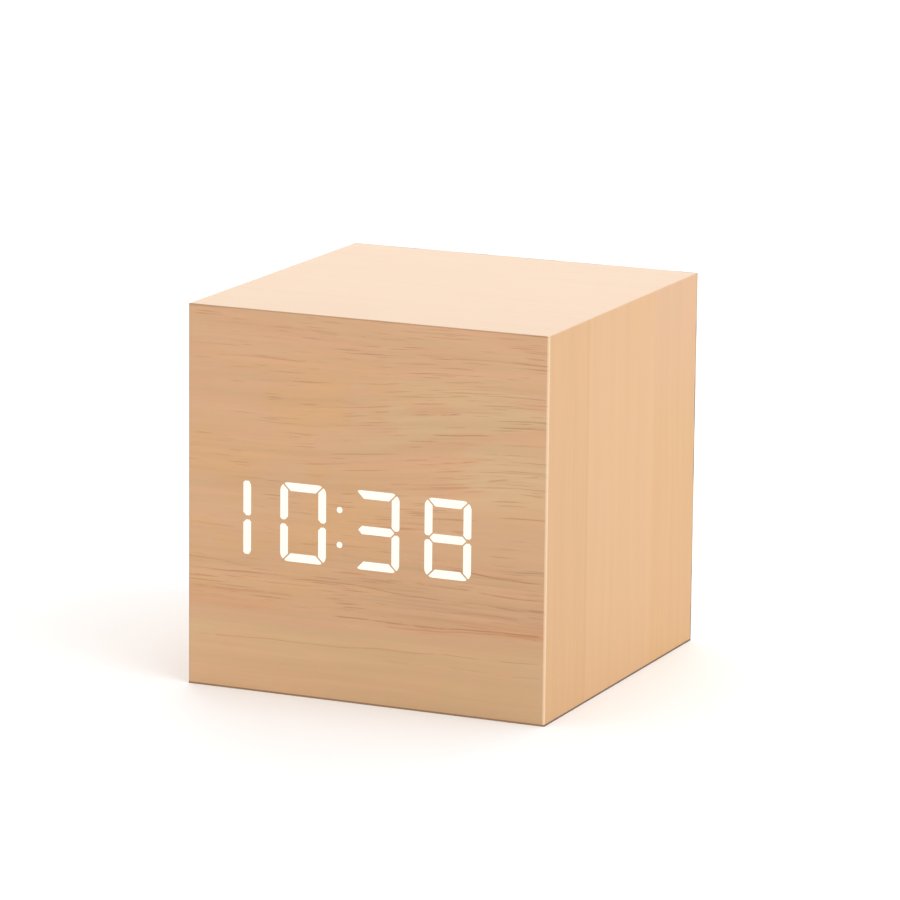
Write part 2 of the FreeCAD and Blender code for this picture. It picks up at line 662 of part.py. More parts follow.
def chip_leads(mid_x, y_leave, mid_z):
    """Gull-wing leads along both long sides of the clock chip."""
    leads = []
    first = mid_x - CHIP_LEAD_PITCH * (CHIP_LEADS_PER_SIDE - 1) / 2
    base, thick = Y_DISPLAY_REAR, CHIP_LEAD_THICKNESS
    knee = CHIP_LEAD_KNEE
    for number in range(CHIP_LEADS_PER_SIDE):
        low_x = first + CHIP_LEAD_PITCH * number - CHIP_LEAD_WIDTH / 2
        for side in (-1, 1):
            start = mid_z + side * CHIP_WIDTH / 2
            outline = [(y_leave, 0), (y_leave, knee), (base, knee), (base, CHIP_LEAD_REACH),
                       (base + thick, CHIP_LEAD_REACH), (base + thick, knee + thick),
                       (y_leave + thick, knee + thick), (y_leave + thick, 0)]
            placed = [(y, start + side * z) for y, z in outline]
            leads.append(prism_x(placed, low_x, low_x + CHIP_LEAD_WIDTH))
    return leads


# ---------------------------------------------------------------- rear panel
def panel_height():
    """Lowest and highest z of the rear panel."""
    return Z_FLOOR + PANEL_CLEARANCE, Z_CEILING - PANEL_CLEARANCE


def countersunk_head(x, z, extra):
    """The conical head of a panel screw, or its seat when extra is a clearance."""
    shaft = PANEL_SCREW_RADIUS + extra
    rim = PANEL_SCREW_HEAD_RADIUS + extra
    low_y = Y_PANEL - PANEL_SCREW_HEAD_HEIGHT - extra
    return Part.makeCone(shaft, rim, Y_PANEL - low_y, V(x, low_y, z), Y_AXIS)


def make_panel_screws():
    """Four countersunk screws through the rear panel into the corner blocks."""
    screws = []
    for x, z in panel_screw_places():
        shaft = rod(PANEL_SCREW_RADIUS, (x, Y_PANEL - PANEL_SCREW_LENGTH, z),
                    (x, Y_PANEL - PANEL_SCREW_HEAD_HEIGHT / 2, z))
        screw = shaft.fuse(countersunk_head(x, z, 0))
        screws.append(screw.cut(cross_recess(x, Y_PANEL, z, PANEL_SCREW_HEAD_RADIUS, 1)))
    save("panel_screws", *screws)


def make_rear_panel():
    """Moulded rear panel with the battery compartment, hinge seat, button and socket holes."""
    low_z, high_z = panel_height()
    half = X_INNER - PANEL_CLEARANCE
    plate = block((-half, Y_PANEL_INNER, low_z), (half, Y_PANEL, high_z))
    wall_half = TUB_HALF + TUB_WALL
    tub = block((-wall_half, TUB_BACK_Y, TUB_INNER_LOW - TUB_WALL),
                (wall_half, Y_PANEL_INNER, TUB_INNER_HIGH + TUB_WALL))
    bar_half = DOOR_OPENING_HALF + HINGE_PIN_LENGTH + HINGE_BAR_END
    bar = block((-bar_half, Y_PANEL_INNER - HINGE_BAR_DEPTH, TUB_BASE_Z),
                (bar_half, Y_PANEL_INNER, TUB_BASE_Z + HINGE_BAR_HEIGHT))
    posts = [rod(POST_RADIUS, (x, Y_CONTROL_OUTER, STRIP_Z), (x, Y_PANEL_INNER, STRIP_Z))
             for x in POST_X]
    body = fused([plate, tub, bar] + posts)

    over = Y_PANEL + OVERCUT
    cavity = block((-TUB_HALF, TUB_FLOOR_Y, TUB_INNER_LOW), (TUB_HALF, over, TUB_INNER_HIGH))
    opening = block((-DOOR_OPENING_HALF, DOOR_INNER_Y - DOOR_LEDGE_GAP, HINGE_Z),
                    (DOOR_OPENING_HALF, over, DOOR_OPENING_TOP))
    barrel_seat = rod(BARREL_RADIUS + BARREL_GAP, (-DOOR_OPENING_HALF, HINGE_Y, HINGE_Z),
                      (DOOR_OPENING_HALF, HINGE_Y, HINGE_Z))
    lip = block((-DOOR_OPENING_HALF, HINGE_Y, HINGE_Z - BARREL_RADIUS - HINGE_LIP_GAP),
                (DOOR_OPENING_HALF, over, HINGE_Z))
    pin_reach = DOOR_OPENING_HALF + HINGE_PIN_LENGTH
    pin_holes = rod(HINGE_PIN_RADIUS + HINGE_FIT, (-pin_reach, HINGE_Y, HINGE_Z),
                    (pin_reach, HINGE_Y, HINGE_Z))
    snap_half = SNAP_WIDTH / 2 + SNAP_GAP
    snap_slot = block((-snap_half, SNAP_Y - DOOR_LEDGE_GAP, DOOR_OPENING_TOP),
                      (snap_half, SNAP_Y + SNAP_THICKNESS + DOOR_LEDGE_GAP,
                       DOOR_TOP + SNAP_REACH + SNAP_GAP))
    body = body.cut([cavity, opening, barrel_seat, lip, pin_holes, snap_slot, finger_scoop()])

    cuts = [button_pocket()]
    hole = BUTTON_RADIUS + BUTTON_HOLE_CLEARANCE
    for x in BUTTON_X:
        cuts.append(rod(hole, (x, Y_PANEL_INNER, STRIP_Z), (x, over, STRIP_Z)))
    cuts.append(rod(JACK_COLLAR_RADIUS + JACK_COLLAR_CLEARANCE, (JACK_X, Y_PANEL_INNER, STRIP_Z),
                    (JACK_X, over, STRIP_Z)))
    for x in POST_X:
        cuts.append(rod(CONTROL_SCREW_RADIUS, (x, Y_CONTROL_OUTER, STRIP_Z),
                        (x, Y_CONTROL_OUTER + CONTROL_SCREW_BITE, STRIP_Z)))
    for x, z in panel_screw_places():
        cuts.append(rod(PANEL_SCREW_RADIUS + SCREW_CLEARANCE, (x, Y_PANEL_INNER, z), (x, over, z)))
        cuts.append(countersunk_head(x, z, SCREW_CLEARANCE))
    cuts += tail_slots()
    save("rear_panel", body.cut(cuts))


def finger_scoop():
    """A shallow scoop above the battery door, for a fingertip."""
    centre_z = DOOR_OPENING_TOP + SCOOP_DEPTH - SCOOP_RADIUS
    scoop = rod(SCOOP_RADIUS, (0, DOOR_INNER_Y + DOOR / 2, centre_z), (0, Y_PANEL + OVERCUT, centre_z))
    keep = block((-SCOOP_RADIUS, DOOR_INNER_Y, DOOR_OPENING_TOP - OVERCUT),
                 (SCOOP_RADIUS, Y_PANEL + OVERCUT, DOOR_OPENING_TOP + SCOOP_DEPTH))
    return scoop.common(keep)


def button_pocket():
    """The shallow pill-shaped pocket that the three buttons stand in."""
    floor = Y_PANEL - POCKET_DEPTH
    over = Y_PANEL + OVERCUT
    ends = [rod(POCKET_RADIUS, (x, floor, STRIP_Z), (x, over, STRIP_Z))
            for x in (BUTTON_X[0], BUTTON_X[2])]
    middle = block((BUTTON_X[0], floor, STRIP_Z - POCKET_RADIUS),
                   (BUTTON_X[2], over, STRIP_Z + POCKET_RADIUS))
    return fused(ends + [middle])


# ---------------------------------------------------------------- battery door
def make_battery_door():
    """The door, with a hinge barrel and two pins in one piece, and a snap nose at its top."""
    slab = block((-DOOR_HALF, DOOR_INNER_Y, HINGE_Z), (DOOR_HALF, Y_PANEL, DOOR_TOP))
    top_corners = [edge for edge in edges_along(slab, Y_AXIS) if edge.BoundBox.ZMin > HINGE_Z]
    slab = slab.makeFillet(DOOR_CORNER_ROUND, top_corners)
    outer_rim = [edge for edge in slab.Edges
                 if edge.BoundBox.YMin > Y_PANEL - 0.01 and edge.BoundBox.ZMax > HINGE_Z + 0.01]
    slab = slab.makeFillet(DOOR_RIM_ROUND, outer_rim)
    barrel = rod(BARREL_RADIUS, (-DOOR_HALF, HINGE_Y, HINGE_Z), (DOOR_HALF, HINGE_Y, HINGE_Z))
    pin_reach = DOOR_OPENING_HALF + HINGE_PIN_LENGTH - DOOR_GAP
    pins = rod(HINGE_PIN_RADIUS, (-pin_reach, HINGE_Y, HINGE_Z), (pin_reach, HINGE_Y, HINGE_Z))
    nose = block((-SNAP_WIDTH / 2, SNAP_Y, DOOR_TOP - SNAP_ROOT),
                 (SNAP_WIDTH / 2, SNAP_Y + SNAP_THICKNESS, DOOR_TOP + SNAP_REACH))
    door = fused([slab, barrel, pins, nose])
    grooves = []
    for number in range(GRIP_GROOVE_COUNT):
        z = DOOR_TOP - GRIP_TOP_INSET - GRIP_GROOVE_PITCH * number
        half = GRIP_GROOVE_LENGTH / 2 - number * GRIP_TAPER
        grooves.append(block((-half, Y_PANEL - GRIP_GROOVE_DEPTH, z - GRIP_GROOVE_WIDTH / 2),
                             (half, Y_PANEL + OVERCUT, z + GRIP_GROOVE_WIDTH / 2)))
    save("battery_door", door.cut(grooves))


# ---------------------------------------------------------------- cells and contacts
def positive_way(row):
    """-1 where a cell's positive end is at the left, +1 where it is at the right."""
    return -1 if row % 2 == 0 else 1


def make_cells():
    """Three AAA cells in series, each with a printed sleeve."""
    cells, sleeves = [], []
    plate_face = TUB_HALF - CONTACT
    for row, z in enumerate(CELL_Z):
        way = positive_way(row)
        tip = way * plate_face
        shoulder = way * (plate_face - CELL_NUB_HEIGHT)
        flat_end = way * (plate_face - CELL_LENGTH)
        can = rod(CELL_DIAMETER / 2, (flat_end, CELL_MIDDLE_Y, z), (shoulder, CELL_MIDDLE_Y, z))
        nub = rod(CELL_NUB_RADIUS, (shoulder, CELL_MIDDLE_Y, z), (tip, CELL_MIDDLE_Y, z))
        inset = SLEEVE_END_INSET * way
        band = rod(CELL_DIAMETER / 2, (flat_end + inset, CELL_MIDDLE_Y, z),
                   (shoulder - inset, CELL_MIDDLE_Y, z))
        core = rod(CELL_DIAMETER / 2 - SLEEVE, (flat_end + inset, CELL_MIDDLE_Y, z),
                   (shoulder - inset, CELL_MIDDLE_Y, z))
        sleeve = band.cut(core)
        cells.append(fused([can, nub]).cut(sleeve))
        sleeves.append(sleeve)
    save("battery_cells", *cells)
    save("battery_sleeves", *sleeves)


def contact_groups():
    """Each contact plate's side, and the first and last cell row that it touches."""
    return ((-1, 0, 0), (-1, 1, 2), (1, 0, 1), (1, 2, 2))


def tail_places():
    """Side and z of the two outgoing contact plates' solder tails."""
    return [(side, CELL_Z[first]) for side, first, last in contact_groups() if first == last]


def tail_box(side, z, gap):
    """A solder tail through the compartment's floor, or its slot when gap is a clearance."""
    xs = sorted((side * TUB_HALF, side * (TUB_HALF - CONTACT - gap)))
    half = TAIL_WIDTH / 2 + gap
    reach = TUB_BACK_Y - TAIL_REACH
    return block((xs[0], reach, z - half), (xs[1], TUB_FLOOR_Y, z + half))


def tail_slots():
    """Slots in the compartment's floor for the solder tails."""
    return [tail_box(side, z, TAIL_CLEARANCE) for side, z in tail_places()]


def make_contacts():
    """Contact plates at both ends of the compartment, and the coil springs on them."""
    plates, springs = [], []
    low_y = CELL_MIDDLE_Y - CONTACT_WIDTH / 2
    for side, first, last in contact_groups():
        xs = sorted((side * TUB_HALF, side * (TUB_HALF - CONTACT)))
        half = CONTACT_WIDTH / 2
        plate = block((xs[0], low_y, CELL_Z[first] - half),
                      (xs[1], CELL_MIDDLE_Y + CONTACT_WIDTH / 2, CELL_Z[last] + half))
        if first == last:
            foot = block((xs[0], TUB_FLOOR_Y, CELL_Z[first] - TAIL_WIDTH / 2),
                         (xs[1], low_y, CELL_Z[first] + TAIL_WIDTH / 2))
            plate = fused([plate, foot, tail_box(side, CELL_Z[first], 0)])
        plates.append(plate)
    for row, z in enumerate(CELL_Z):
        springs.append(coil_spring(-positive_way(row), z))
    save("contact_plates", *plates)
    save("contact_springs", *springs)


def coil_spring(side, z):
    """A coil spring from a contact plate to the flat end of a cell."""
    turns_length = SPRING_LENGTH - SPRING_WIRE
    helix = Part.makeHelix(turns_length / SPRING_TURNS, turns_length, SPRING_RADIUS)
    section = Part.Wire(Part.makeCircle(SPRING_WIRE / 2, V(SPRING_RADIUS, 0, 0), Y_AXIS))
    spring = Part.Wire(helix.Edges).makePipeShell([section], True, True)
    start = side * (TUB_HALF - CONTACT - SPRING_WIRE / 2)
    spring.rotate(V(0, 0, 0), Y_AXIS, -side * 90)
    spring.translate(V(start, CELL_MIDDLE_Y, z))
    return spring


# ---------------------------------------------------------------- buttons and switches
def button_mark(name, x):
    """The sign sunk in a button's top: a ring for set, a triangle for up and for down."""
    floor = Y_PANEL + BUTTON_PROUD - BUTTON_MARK_DEPTH
    over = Y_PANEL + BUTTON_PROUD + OVERCUT
    size = BUTTON_MARK_RADIUS
    if name == "set":
        ring = rod(size, (x, floor, STRIP_Z), (x, over, STRIP_Z))
        return ring.cut(rod(size * BUTTON_RING_SHARE, (x, floor, STRIP_Z), (x, over, STRIP_Z)))
    way = 1 if name == "up" else -1
    corners = [(x + size * math.sin(math.radians(turn)),
                STRIP_Z + way * size * math.cos(math.radians(turn))) for turn in (0, 120, 240)]
    return prism_y(corners, floor, over)


def make_buttons():
    """Three caps with their retaining flanges, and the switch plungers that they press."""
    for name, x in zip(BUTTON_NAMES, BUTTON_X):
        top = Y_PANEL + BUTTON_PROUD
        cap = rod(BUTTON_RADIUS, (x, BUTTON_FLANGE_TOP_Y, STRIP_Z), (x, top, STRIP_Z))
        rim = [edge for edge in cap.Edges if edge.BoundBox.YMin > top - 0.01]
        cap = cap.makeFillet(BUTTON_EDGE_ROUND, rim).cut(button_mark(name, x))
        flange = rod(BUTTON_FLANGE_RADIUS, (x, BUTTON_UNDERSIDE_Y, STRIP_Z),
                     (x, BUTTON_FLANGE_TOP_Y, STRIP_Z))
        save(name + "_button", fused([cap, flange]))
        save(name + "_plunger", rod(PLUNGER_RADIUS, (x, SWITCH_TOP_Y - PLUNGER_INSIDE, STRIP_Z),
                                    (x, BUTTON_UNDERSIDE_Y, STRIP_Z)))


def make_switches():
    """Three square push-switch bodies on the control board."""
    half = SWITCH_SIZE / 2
    bodies = []
    for x in BUTTON_X:
        body = rounded_block((x - half, Y_CONTROL_OUTER, STRIP_Z - half),
                             (x + half, SWITCH_TOP_Y, STRIP_Z + half),
                             SWITCH_CORNER_ROUND, Y_AXIS)
        well = rod(PLUNGER_RADIUS + PLUNGER_CLEARANCE, (x, SWITCH_TOP_Y - PLUNGER_WELL, STRIP_Z),
                   (x, SWITCH_TOP_Y, STRIP_Z))
        bodies.append(body.cut(well))
    save("tact_switches", *bodies)


def make_control_board():
    """Control board and the two screws that hold it on the rear panel's posts."""
    board = block((CONTROL_LEFT, Y_CONTROL_INNER, STRIP_Z - CONTROL_HALF_HEIGHT),
                  (CONTROL_RIGHT, Y_CONTROL_OUTER, STRIP_Z + CONTROL_HALF_HEIGHT))
    holes, screws = [], []
    for x in POST_X:
        holes.append(rod(CONTROL_SCREW_RADIUS + SCREW_CLEARANCE, (x, Y_CONTROL_INNER, STRIP_Z),
                         (x, Y_CONTROL_OUTER, STRIP_Z)))
        shaft = rod(CONTROL_SCREW_RADIUS, (x, Y_CONTROL_INNER, STRIP_Z),
                    (x, Y_CONTROL_OUTER + CONTROL_SCREW_BITE, STRIP_Z))
        screws.append(shaft.fuse(pan_head(x, Y_CONTROL_INNER, STRIP_Z, CONTROL_SCREW_HEAD_RADIUS,
                                          CONTROL_SCREW_HEAD_HEIGHT, -1)))
    save("control_board", board.cut(holes))
    save("control_board_screws", *screws)


# ---------------------------------------------------------------- power socket
def jack_contact_box():
    """The sleeve contact, a strip along the top of the socket's bore."""
    low_z = STRIP_Z + JACK_BORE_RADIUS
    half = JACK_CONTACT_WIDTH / 2
    return block((JACK_X - half, Y_JACK_BACK - JACK_TAIL_REACH, low_z),
                 (JACK_X + half, Y_JACK_BACK + JACK_CONTACT_LENGTH, low_z + JACK_CONTACT))


def make_power_socket():
    """Socket body, centre pin and sleeve contact."""
    half = JACK_BODY / 2
    body = rounded_block((JACK_X - half, Y_JACK_BACK, STRIP_Z - half),
                         (JACK_X + half, Y_PANEL_INNER, STRIP_Z + half), JACK_CORNER_ROUND, Y_AXIS)
    collar = rod(JACK_COLLAR_RADIUS, (JACK_X, Y_PANEL_INNER, STRIP_Z), (JACK_X, Y_PANEL, STRIP_Z))
    bore_end = Y_PANEL - JACK_BORE_DEPTH
    bore = rod(JACK_BORE_RADIUS, (JACK_X, bore_end, STRIP_Z), (JACK_X, Y_PANEL, STRIP_Z))
    tail_hole = rod(JACK_TAIL_RADIUS, (JACK_X, Y_JACK_BACK, STRIP_Z), (JACK_X, bore_end, STRIP_Z))
    save("jack_body", fused([body, collar]).cut([bore, tail_hole, jack_contact_box()]))

    pin = rod(JACK_PIN_RADIUS, (JACK_X, bore_end, STRIP_Z),
              (JACK_X, bore_end + JACK_PIN_LENGTH, STRIP_Z))
    tip = Part.makeCone(JACK_PIN_RADIUS, JACK_PIN_RADIUS / 2, JACK_PIN_RADIUS / 2,
                        V(JACK_X, bore_end + JACK_PIN_LENGTH, STRIP_Z), Y_AXIS)
    tail = rod(JACK_TAIL_RADIUS, (JACK_X, Y_JACK_BACK - JACK_TAIL_REACH, STRIP_Z),
               (JACK_X, bore_end, STRIP_Z))
    save("jack_pin", fused([pin, tip, tail]))
    save("jack_contact", jack_contact_box())


# ---------------------------------------------------------------- wiring
def make_leads():
    """Two battery leads and the socket's two leads, each to the control board's inner face."""
    tail_end = TUB_BACK_Y - TAIL_REACH
    turn_y = tail_end - LEAD_REACH
    ends_x = {-1: POST_X[0] + LEAD_FROM_POST, 1: POST_X[1] - LEAD_FROM_POST}
    names = {-1: "positive_lead", 1: "negative_lead"}
    for side, z in tail_places():
        x = side * (TUB_HALF - CONTACT / 2)
        end_x = ends_x[side]
        save(names[side], tube_along([(x, tail_end, z), (x, turn_y, z), (end_x, turn_y, STRIP_Z),
                                      (end_x, Y_CONTROL_INNER, STRIP_Z)], LEAD_DIAMETER))

    contact_z = STRIP_Z + JACK_BORE_RADIUS + JACK_CONTACT / 2
    back = Y_JACK_BACK - JACK_TAIL_REACH
    turn_y = back - LEAD_REACH
    board_x = POST_X[1] - JACK_LEAD_FROM_POST
    leads = []
    for z, end_z in ((contact_z, STRIP_Z + JACK_LEAD_SPREAD), (STRIP_Z, STRIP_Z - JACK_LEAD_SPREAD)):
        leads.append(tube_along([(JACK_X, back, z), (JACK_X, turn_y, z), (board_x, turn_y, end_z),
                                 (board_x, Y_CONTROL_INNER, end_z)], LEAD_DIAMETER))
    save("jack_leads", *leads)


def make_ribbon():
    """The ribbon cable between the two boards, and the connector at each end."""
    display_z = DISPLAY_BOARD_HIGH - CONNECTOR_INSET_Z
    half_x, half_z = CONNECTOR_LENGTH / 2, CONNECTOR_WIDTH / 2
    front_end = Y_DISPLAY_REAR + CONNECTOR_HEIGHT
    rear_end = Y_CONTROL_INNER - CONNECTOR_HEIGHT
    save("display_connector", block((CONNECTOR_X - half_x, Y_DISPLAY_REAR, display_z - half_z),
                                    (CONNECTOR_X + half_x, front_end, display_z + half_z)))
    save("control_connector", block((CONNECTOR_X - half_x, rear_end, STRIP_Z - half_z),
                                    (CONNECTOR_X + half_x, Y_CONTROL_INNER, STRIP_Z + half_z)))
    span = rear_end - front_end
    level = span * RIBBON_LEVEL_SHARE
    points = [(CONNECTOR_X, front_end, display_z), (CONNECTOR_X, front_end + level, display_z),
              (CONNECTOR_X, rear_end - level, STRIP_Z), (CONNECTOR_X, rear_end, STRIP_Z)]
    route = rounded_route(points)
    left, right = CONNECTOR_X - RIBBON_WIDTH / 2, CONNECTOR_X + RIBBON_WIDTH / 2
    low, high = display_z - RIBBON_THICKNESS / 2, display_z + RIBBON_THICKNESS / 2
    section = Part.makePolygon([V(left, front_end, low), V(right, front_end, low),
                                V(right, front_end, high), V(left, front_end, high),
                                V(left, front_end, low)])
    save("ribbon_cable", route.makePipeShell([section], True, True))


def main():
    os.makedirs("parts", exist_ok=True)
    lit = make_lit_digits()
    make_case_boards()
    make_films(lit)
    make_front_board()
    make_corner_blocks()
    make_display_block()
    make_segment_leds()
    make_display_board()
    make_display_board_parts()
    make_rear_panel()
    make_panel_screws()
    make_battery_door()
    make_cells()
    make_contacts()
    make_buttons()
    make_switches()
    make_control_board()
    make_power_socket()
    make_leads()
    make_ribbon()


main()
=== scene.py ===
import math

import bpy
from mathutils import Matrix, Vector


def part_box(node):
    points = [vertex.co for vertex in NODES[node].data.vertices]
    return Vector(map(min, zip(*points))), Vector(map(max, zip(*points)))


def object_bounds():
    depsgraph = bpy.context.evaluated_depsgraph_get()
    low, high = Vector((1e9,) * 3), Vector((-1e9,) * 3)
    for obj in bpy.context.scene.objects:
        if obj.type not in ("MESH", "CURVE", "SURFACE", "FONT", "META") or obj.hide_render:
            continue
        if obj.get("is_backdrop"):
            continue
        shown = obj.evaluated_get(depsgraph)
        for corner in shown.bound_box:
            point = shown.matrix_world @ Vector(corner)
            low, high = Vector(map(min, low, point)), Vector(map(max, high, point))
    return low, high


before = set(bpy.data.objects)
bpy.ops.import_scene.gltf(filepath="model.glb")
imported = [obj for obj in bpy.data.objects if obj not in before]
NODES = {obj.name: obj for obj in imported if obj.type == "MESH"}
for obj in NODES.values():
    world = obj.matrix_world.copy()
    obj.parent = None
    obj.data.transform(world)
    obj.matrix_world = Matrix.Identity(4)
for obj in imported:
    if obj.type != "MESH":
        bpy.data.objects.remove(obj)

cad_box = [list(corner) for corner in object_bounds()]
MM = 0.001
HALF_WIDTH = cad_box[1][0] / MM
HALF_DEPTH = cad_box[1][1] / MM
TOP = cad_box[1][2] / MM


# ---------------------------------------------------------------- node trees

def times(colour, factor):
    """A colour made darker or lighter."""
    return tuple(channel * factor for channel in colour[:3]) + (1.0,)


class Graph:
    """A material's node tree. Its place is the object's own coordinates in millimetres."""

    def __init__(self, name, **settings):
        self.material = bpy.data.materials.new(name)
        self.material.use_nodes = True
        self.tree = self.material.node_tree
        self.tree.nodes.clear()
        self.shader = self.add("ShaderNodeBsdfPrincipled")
        output = self.add("ShaderNodeOutputMaterial")
        self.tree.links.new(self.shader.outputs[0], output.inputs["Surface"])
        for setting, value in settings.items():
            self.put(self.shader.inputs[setting.replace("_", " ")], value)
        place = self.add("ShaderNodeTexCoord").outputs["Object"]
        self.place = self.scale(place, 1 / MM)
        self.x, self.y, self.z = self.split(self.place)
        # which way the face looks in the object's own axes, with its sign and without
        normal = self.add("ShaderNodeNewGeometry").outputs["True Normal"]
        local = self.add("ShaderNodeVectorTransform", vector_type="NORMAL",
                         convert_from="WORLD", convert_to="OBJECT")
        self.put(local.inputs[0], normal)
        self.signed_facing = self.split(local.outputs[0])
        self.facing = [self.math("ABSOLUTE", part) for part in self.signed_facing]

    def add(self, kind, **settings):
        node = self.tree.nodes.new(kind)
        for setting, value in settings.items():
            setattr(node, setting, value)
        return node

    def put(self, socket, value):
        """Links another node's output to the socket, or sets the socket's own value."""
        if isinstance(value, bpy.types.NodeSocket):
            self.tree.links.new(value, socket)
        elif socket.type == "VECTOR":
            socket.default_value = value[:3]
        else:
            socket.default_value = value

    def math(self, operation, a, b=0.0, c=0.0, clamp=False):
        node = self.add("ShaderNodeMath", operation=operation, use_clamp=clamp)
        for socket, value in zip(node.inputs, (a, b, c)):
            self.put(socket, value)
        return node.outputs[0]

    def plus(self, a, b):
        return self.math("ADD", a, b)

    def minus(self, a, b):
        return self.math("SUBTRACT", a, b)

    def multiply(self, a, b):
        return self.math("MULTIPLY", a, b)

    def rise(self, value, base, gain):
        """base, plus gain for each 1 of value."""
        return self.math("MULTIPLY_ADD", value, gain, base)

    def dim(self, value, share):
        """A factor that falls from 1 to 1 - share as value goes from 0 to 1."""
        return self.rise(value, 1.0, -share)

    def scale(self, vector, factor):
        """A vector or a colour times a number."""
        node = self.add("ShaderNodeVectorMath", operation="SCALE")
        self.put(node.inputs[0], vector)
        self.put(node.inputs["Scale"], factor)
        return node.outputs["Vector"]

    def stretch(self, vector, factors):
        node = self.add("ShaderNodeVectorMath", operation="MULTIPLY")
        self.put(node.inputs[0], vector)
        self.put(node.inputs[1], factors)
        return node.outputs["Vector"]

    def split(self, vector):
        node = self.add("ShaderNodeSeparateXYZ")
        self.put(node.inputs[0], vector)
        return list(node.outputs)

    def join(self, x, y, z):
        node = self.add("ShaderNodeCombineXYZ")
        for socket, value in zip(node.inputs, (x, y, z)):
            self.put(socket, value)
        return node.outputs[0]

    def step(self, value, low, high, to_low=0.0, to_high=1.0):
        """A smooth rise from to_low to to_high as value goes from low to high."""
        node = self.add("ShaderNodeMapRange", interpolation_type="SMOOTHSTEP")
        for socket, given in zip(node.inputs, (value, low, high, to_low, to_high)):
            self.put(socket, given)
        return node.outputs[0]

    def window(self, value, low, high, soft):
        """1 between low and high, falling smoothly to 0 over soft on each side."""
        rise = self.step(value, low - soft, low)
        return self.multiply(rise, self.step(value, high, high + soft, 1.0, 0.0))

    def noise(self, vector, scale=1.0, detail=2.0, roughness=0.5, distortion=0.0):
        """Cloudy noise from 0 to 1, mostly between 0.3 and 0.7."""
        node = self.add("ShaderNodeTexNoise")
        self.put(node.inputs["Vector"], vector)
        for socket, value in (("Scale", scale), ("Detail", detail),
                              ("Roughness", roughness), ("Distortion", distortion)):
            self.put(node.inputs[socket], value)
        return node.outputs[0]

    def mix(self, factor, a, b, blend="MIX"):
        """Two colours, from a at factor 0 to b at factor 1."""
        node = self.add("ShaderNodeMix", data_type="RGBA", blend_type=blend, clamp_result=False)
        sockets = [s for s in node.inputs if s.enabled]
        for socket, value in zip(sockets, (factor, a, b)):
            self.put(socket, value)
        return [s for s in node.outputs if s.enabled][0]

    def bump(self, height, depth_mm, strength=1.0, under=None):
        """A normal for a relief depth_mm deep where height goes from 0 to 1."""
        node = self.add("ShaderNodeBump")
        self.put(node.inputs["Strength"], strength)
        self.put(node.inputs["Distance"], depth_mm * MM)
        self.put(node.inputs["Height"], height)
        if under is not None:
            self.put(node.inputs["Normal"], under)
        return node.outputs[0]

    def round_edges(self, radius_mm):
        """The surface's normal with its edges softened."""
        node = self.add("ShaderNodeBevel", samples=4)
        self.put(node.inputs["Radius"], radius_mm * MM)
        return node.outputs[0]

    def edges(self, radius_mm, low=0.02, high=0.25):
        """0 on flat areas, rising to 1 along sharp edges, where things rub."""
        soft = self.round_edges(radius_mm)
        flat = self.add("ShaderNodeNewGeometry").outputs["True Normal"]
        dot = self.add("ShaderNodeVectorMath", operation="DOT_PRODUCT")
        self.put(dot.inputs[0], soft)
        self.put(dot.inputs[1], flat)
        return self.step(self.minus(1.0, dot.outputs["Value"]), low, high)

    def finish(self, **sockets):
        """Sets or links the shader's sockets, and gives the material."""
        for name, value in sockets.items():
            self.put(self.shader.inputs[name.replace("_", " ")], value)
        return self.material


# ---------------------------------------------------------------- wood-grain film

# the front's ground colour and those it varies towards, then its pores' tint
WOOD = (0.598, 0.350, 0.186, 1.0)
WOOD_PINK = (0.604, 0.340, 0.186, 1.0)
WOOD_YELLOW = (0.588, 0.378, 0.204, 1.0)
WOOD_WARM = (0.606, 0.345, 0.166, 1.0)
WOOD_RED = (0.606, 0.302, 0.144, 1.0)
WOOD_PALE = (0.622, 0.374, 0.196, 1.0)
WOOD_FOOT = (0.590, 0.376, 0.196, 1.0)
PORE_TINT = (0.55, 0.345, 0.20, 1.0)
# painted highlight for the films' front edges, painted shadow for the base film's edge, and the
# rear rim's edges painted darker
EDGE_HIGHLIGHT = (0.80, 0.58, 0.38, 1.0)
BASE_EDGE_SHADOW = (0.26, 0.140, 0.068, 1.0)
BASE_SIDE_SHADOW = (0.085, 0.050, 0.028, 1.0)
REAR_RIM_EDGE_DARK = (0.150, 0.085, 0.045, 1.0)
# the sides' staves from front to back, the last one's upper end, and the top painted paler as a
# painted sheen
SIDE_WOOD = (0.592, 0.343, 0.160, 1.0)
SIDE_PALE = (0.612, 0.362, 0.175, 1.0)
SIDE_WARM = (0.605, 0.352, 0.155, 1.0)
SIDE_PINK = (0.608, 0.362, 0.196, 1.0)
TOP_PAINTED_SHEEN = (0.545, 0.350, 0.196, 1.0)

# where the front's colour changes, in millimetres: x from its middle, z from its foot
CLIMB_ALONG, CLIMB_FROM, CLIMB_UNTIL = (-16, 34), (24, 40), (49, 61)
YELLOW_ALONG, YELLOW_UP = (-8, 14), (37, 50)
WARM_ALONG, WARM_UP = (-6, 14), (20, 50)
RED_LEFT_ALONG, RED_LEFT_UP = (-22, -6), (13.8, 16.2)
RED_RIGHT_ALONG, RED_RIGHT_UP, RED_RIGHT_SLOPE = (-2, 24), (12.6, 14.3), 0.05
FOOT_UP = (11.0, 14.0)
DIGIT_FEET_ALONG, DIGIT_FEET_UP = (-26, 20), (16.5, 23)
LOW_RIGHT_ALONG, LOW_RIGHT_UP = (-28, 31), (16, 32)
FEW_PORES_LEFT, FEW_PORES_LOW = (-26, 8), (9, 15)

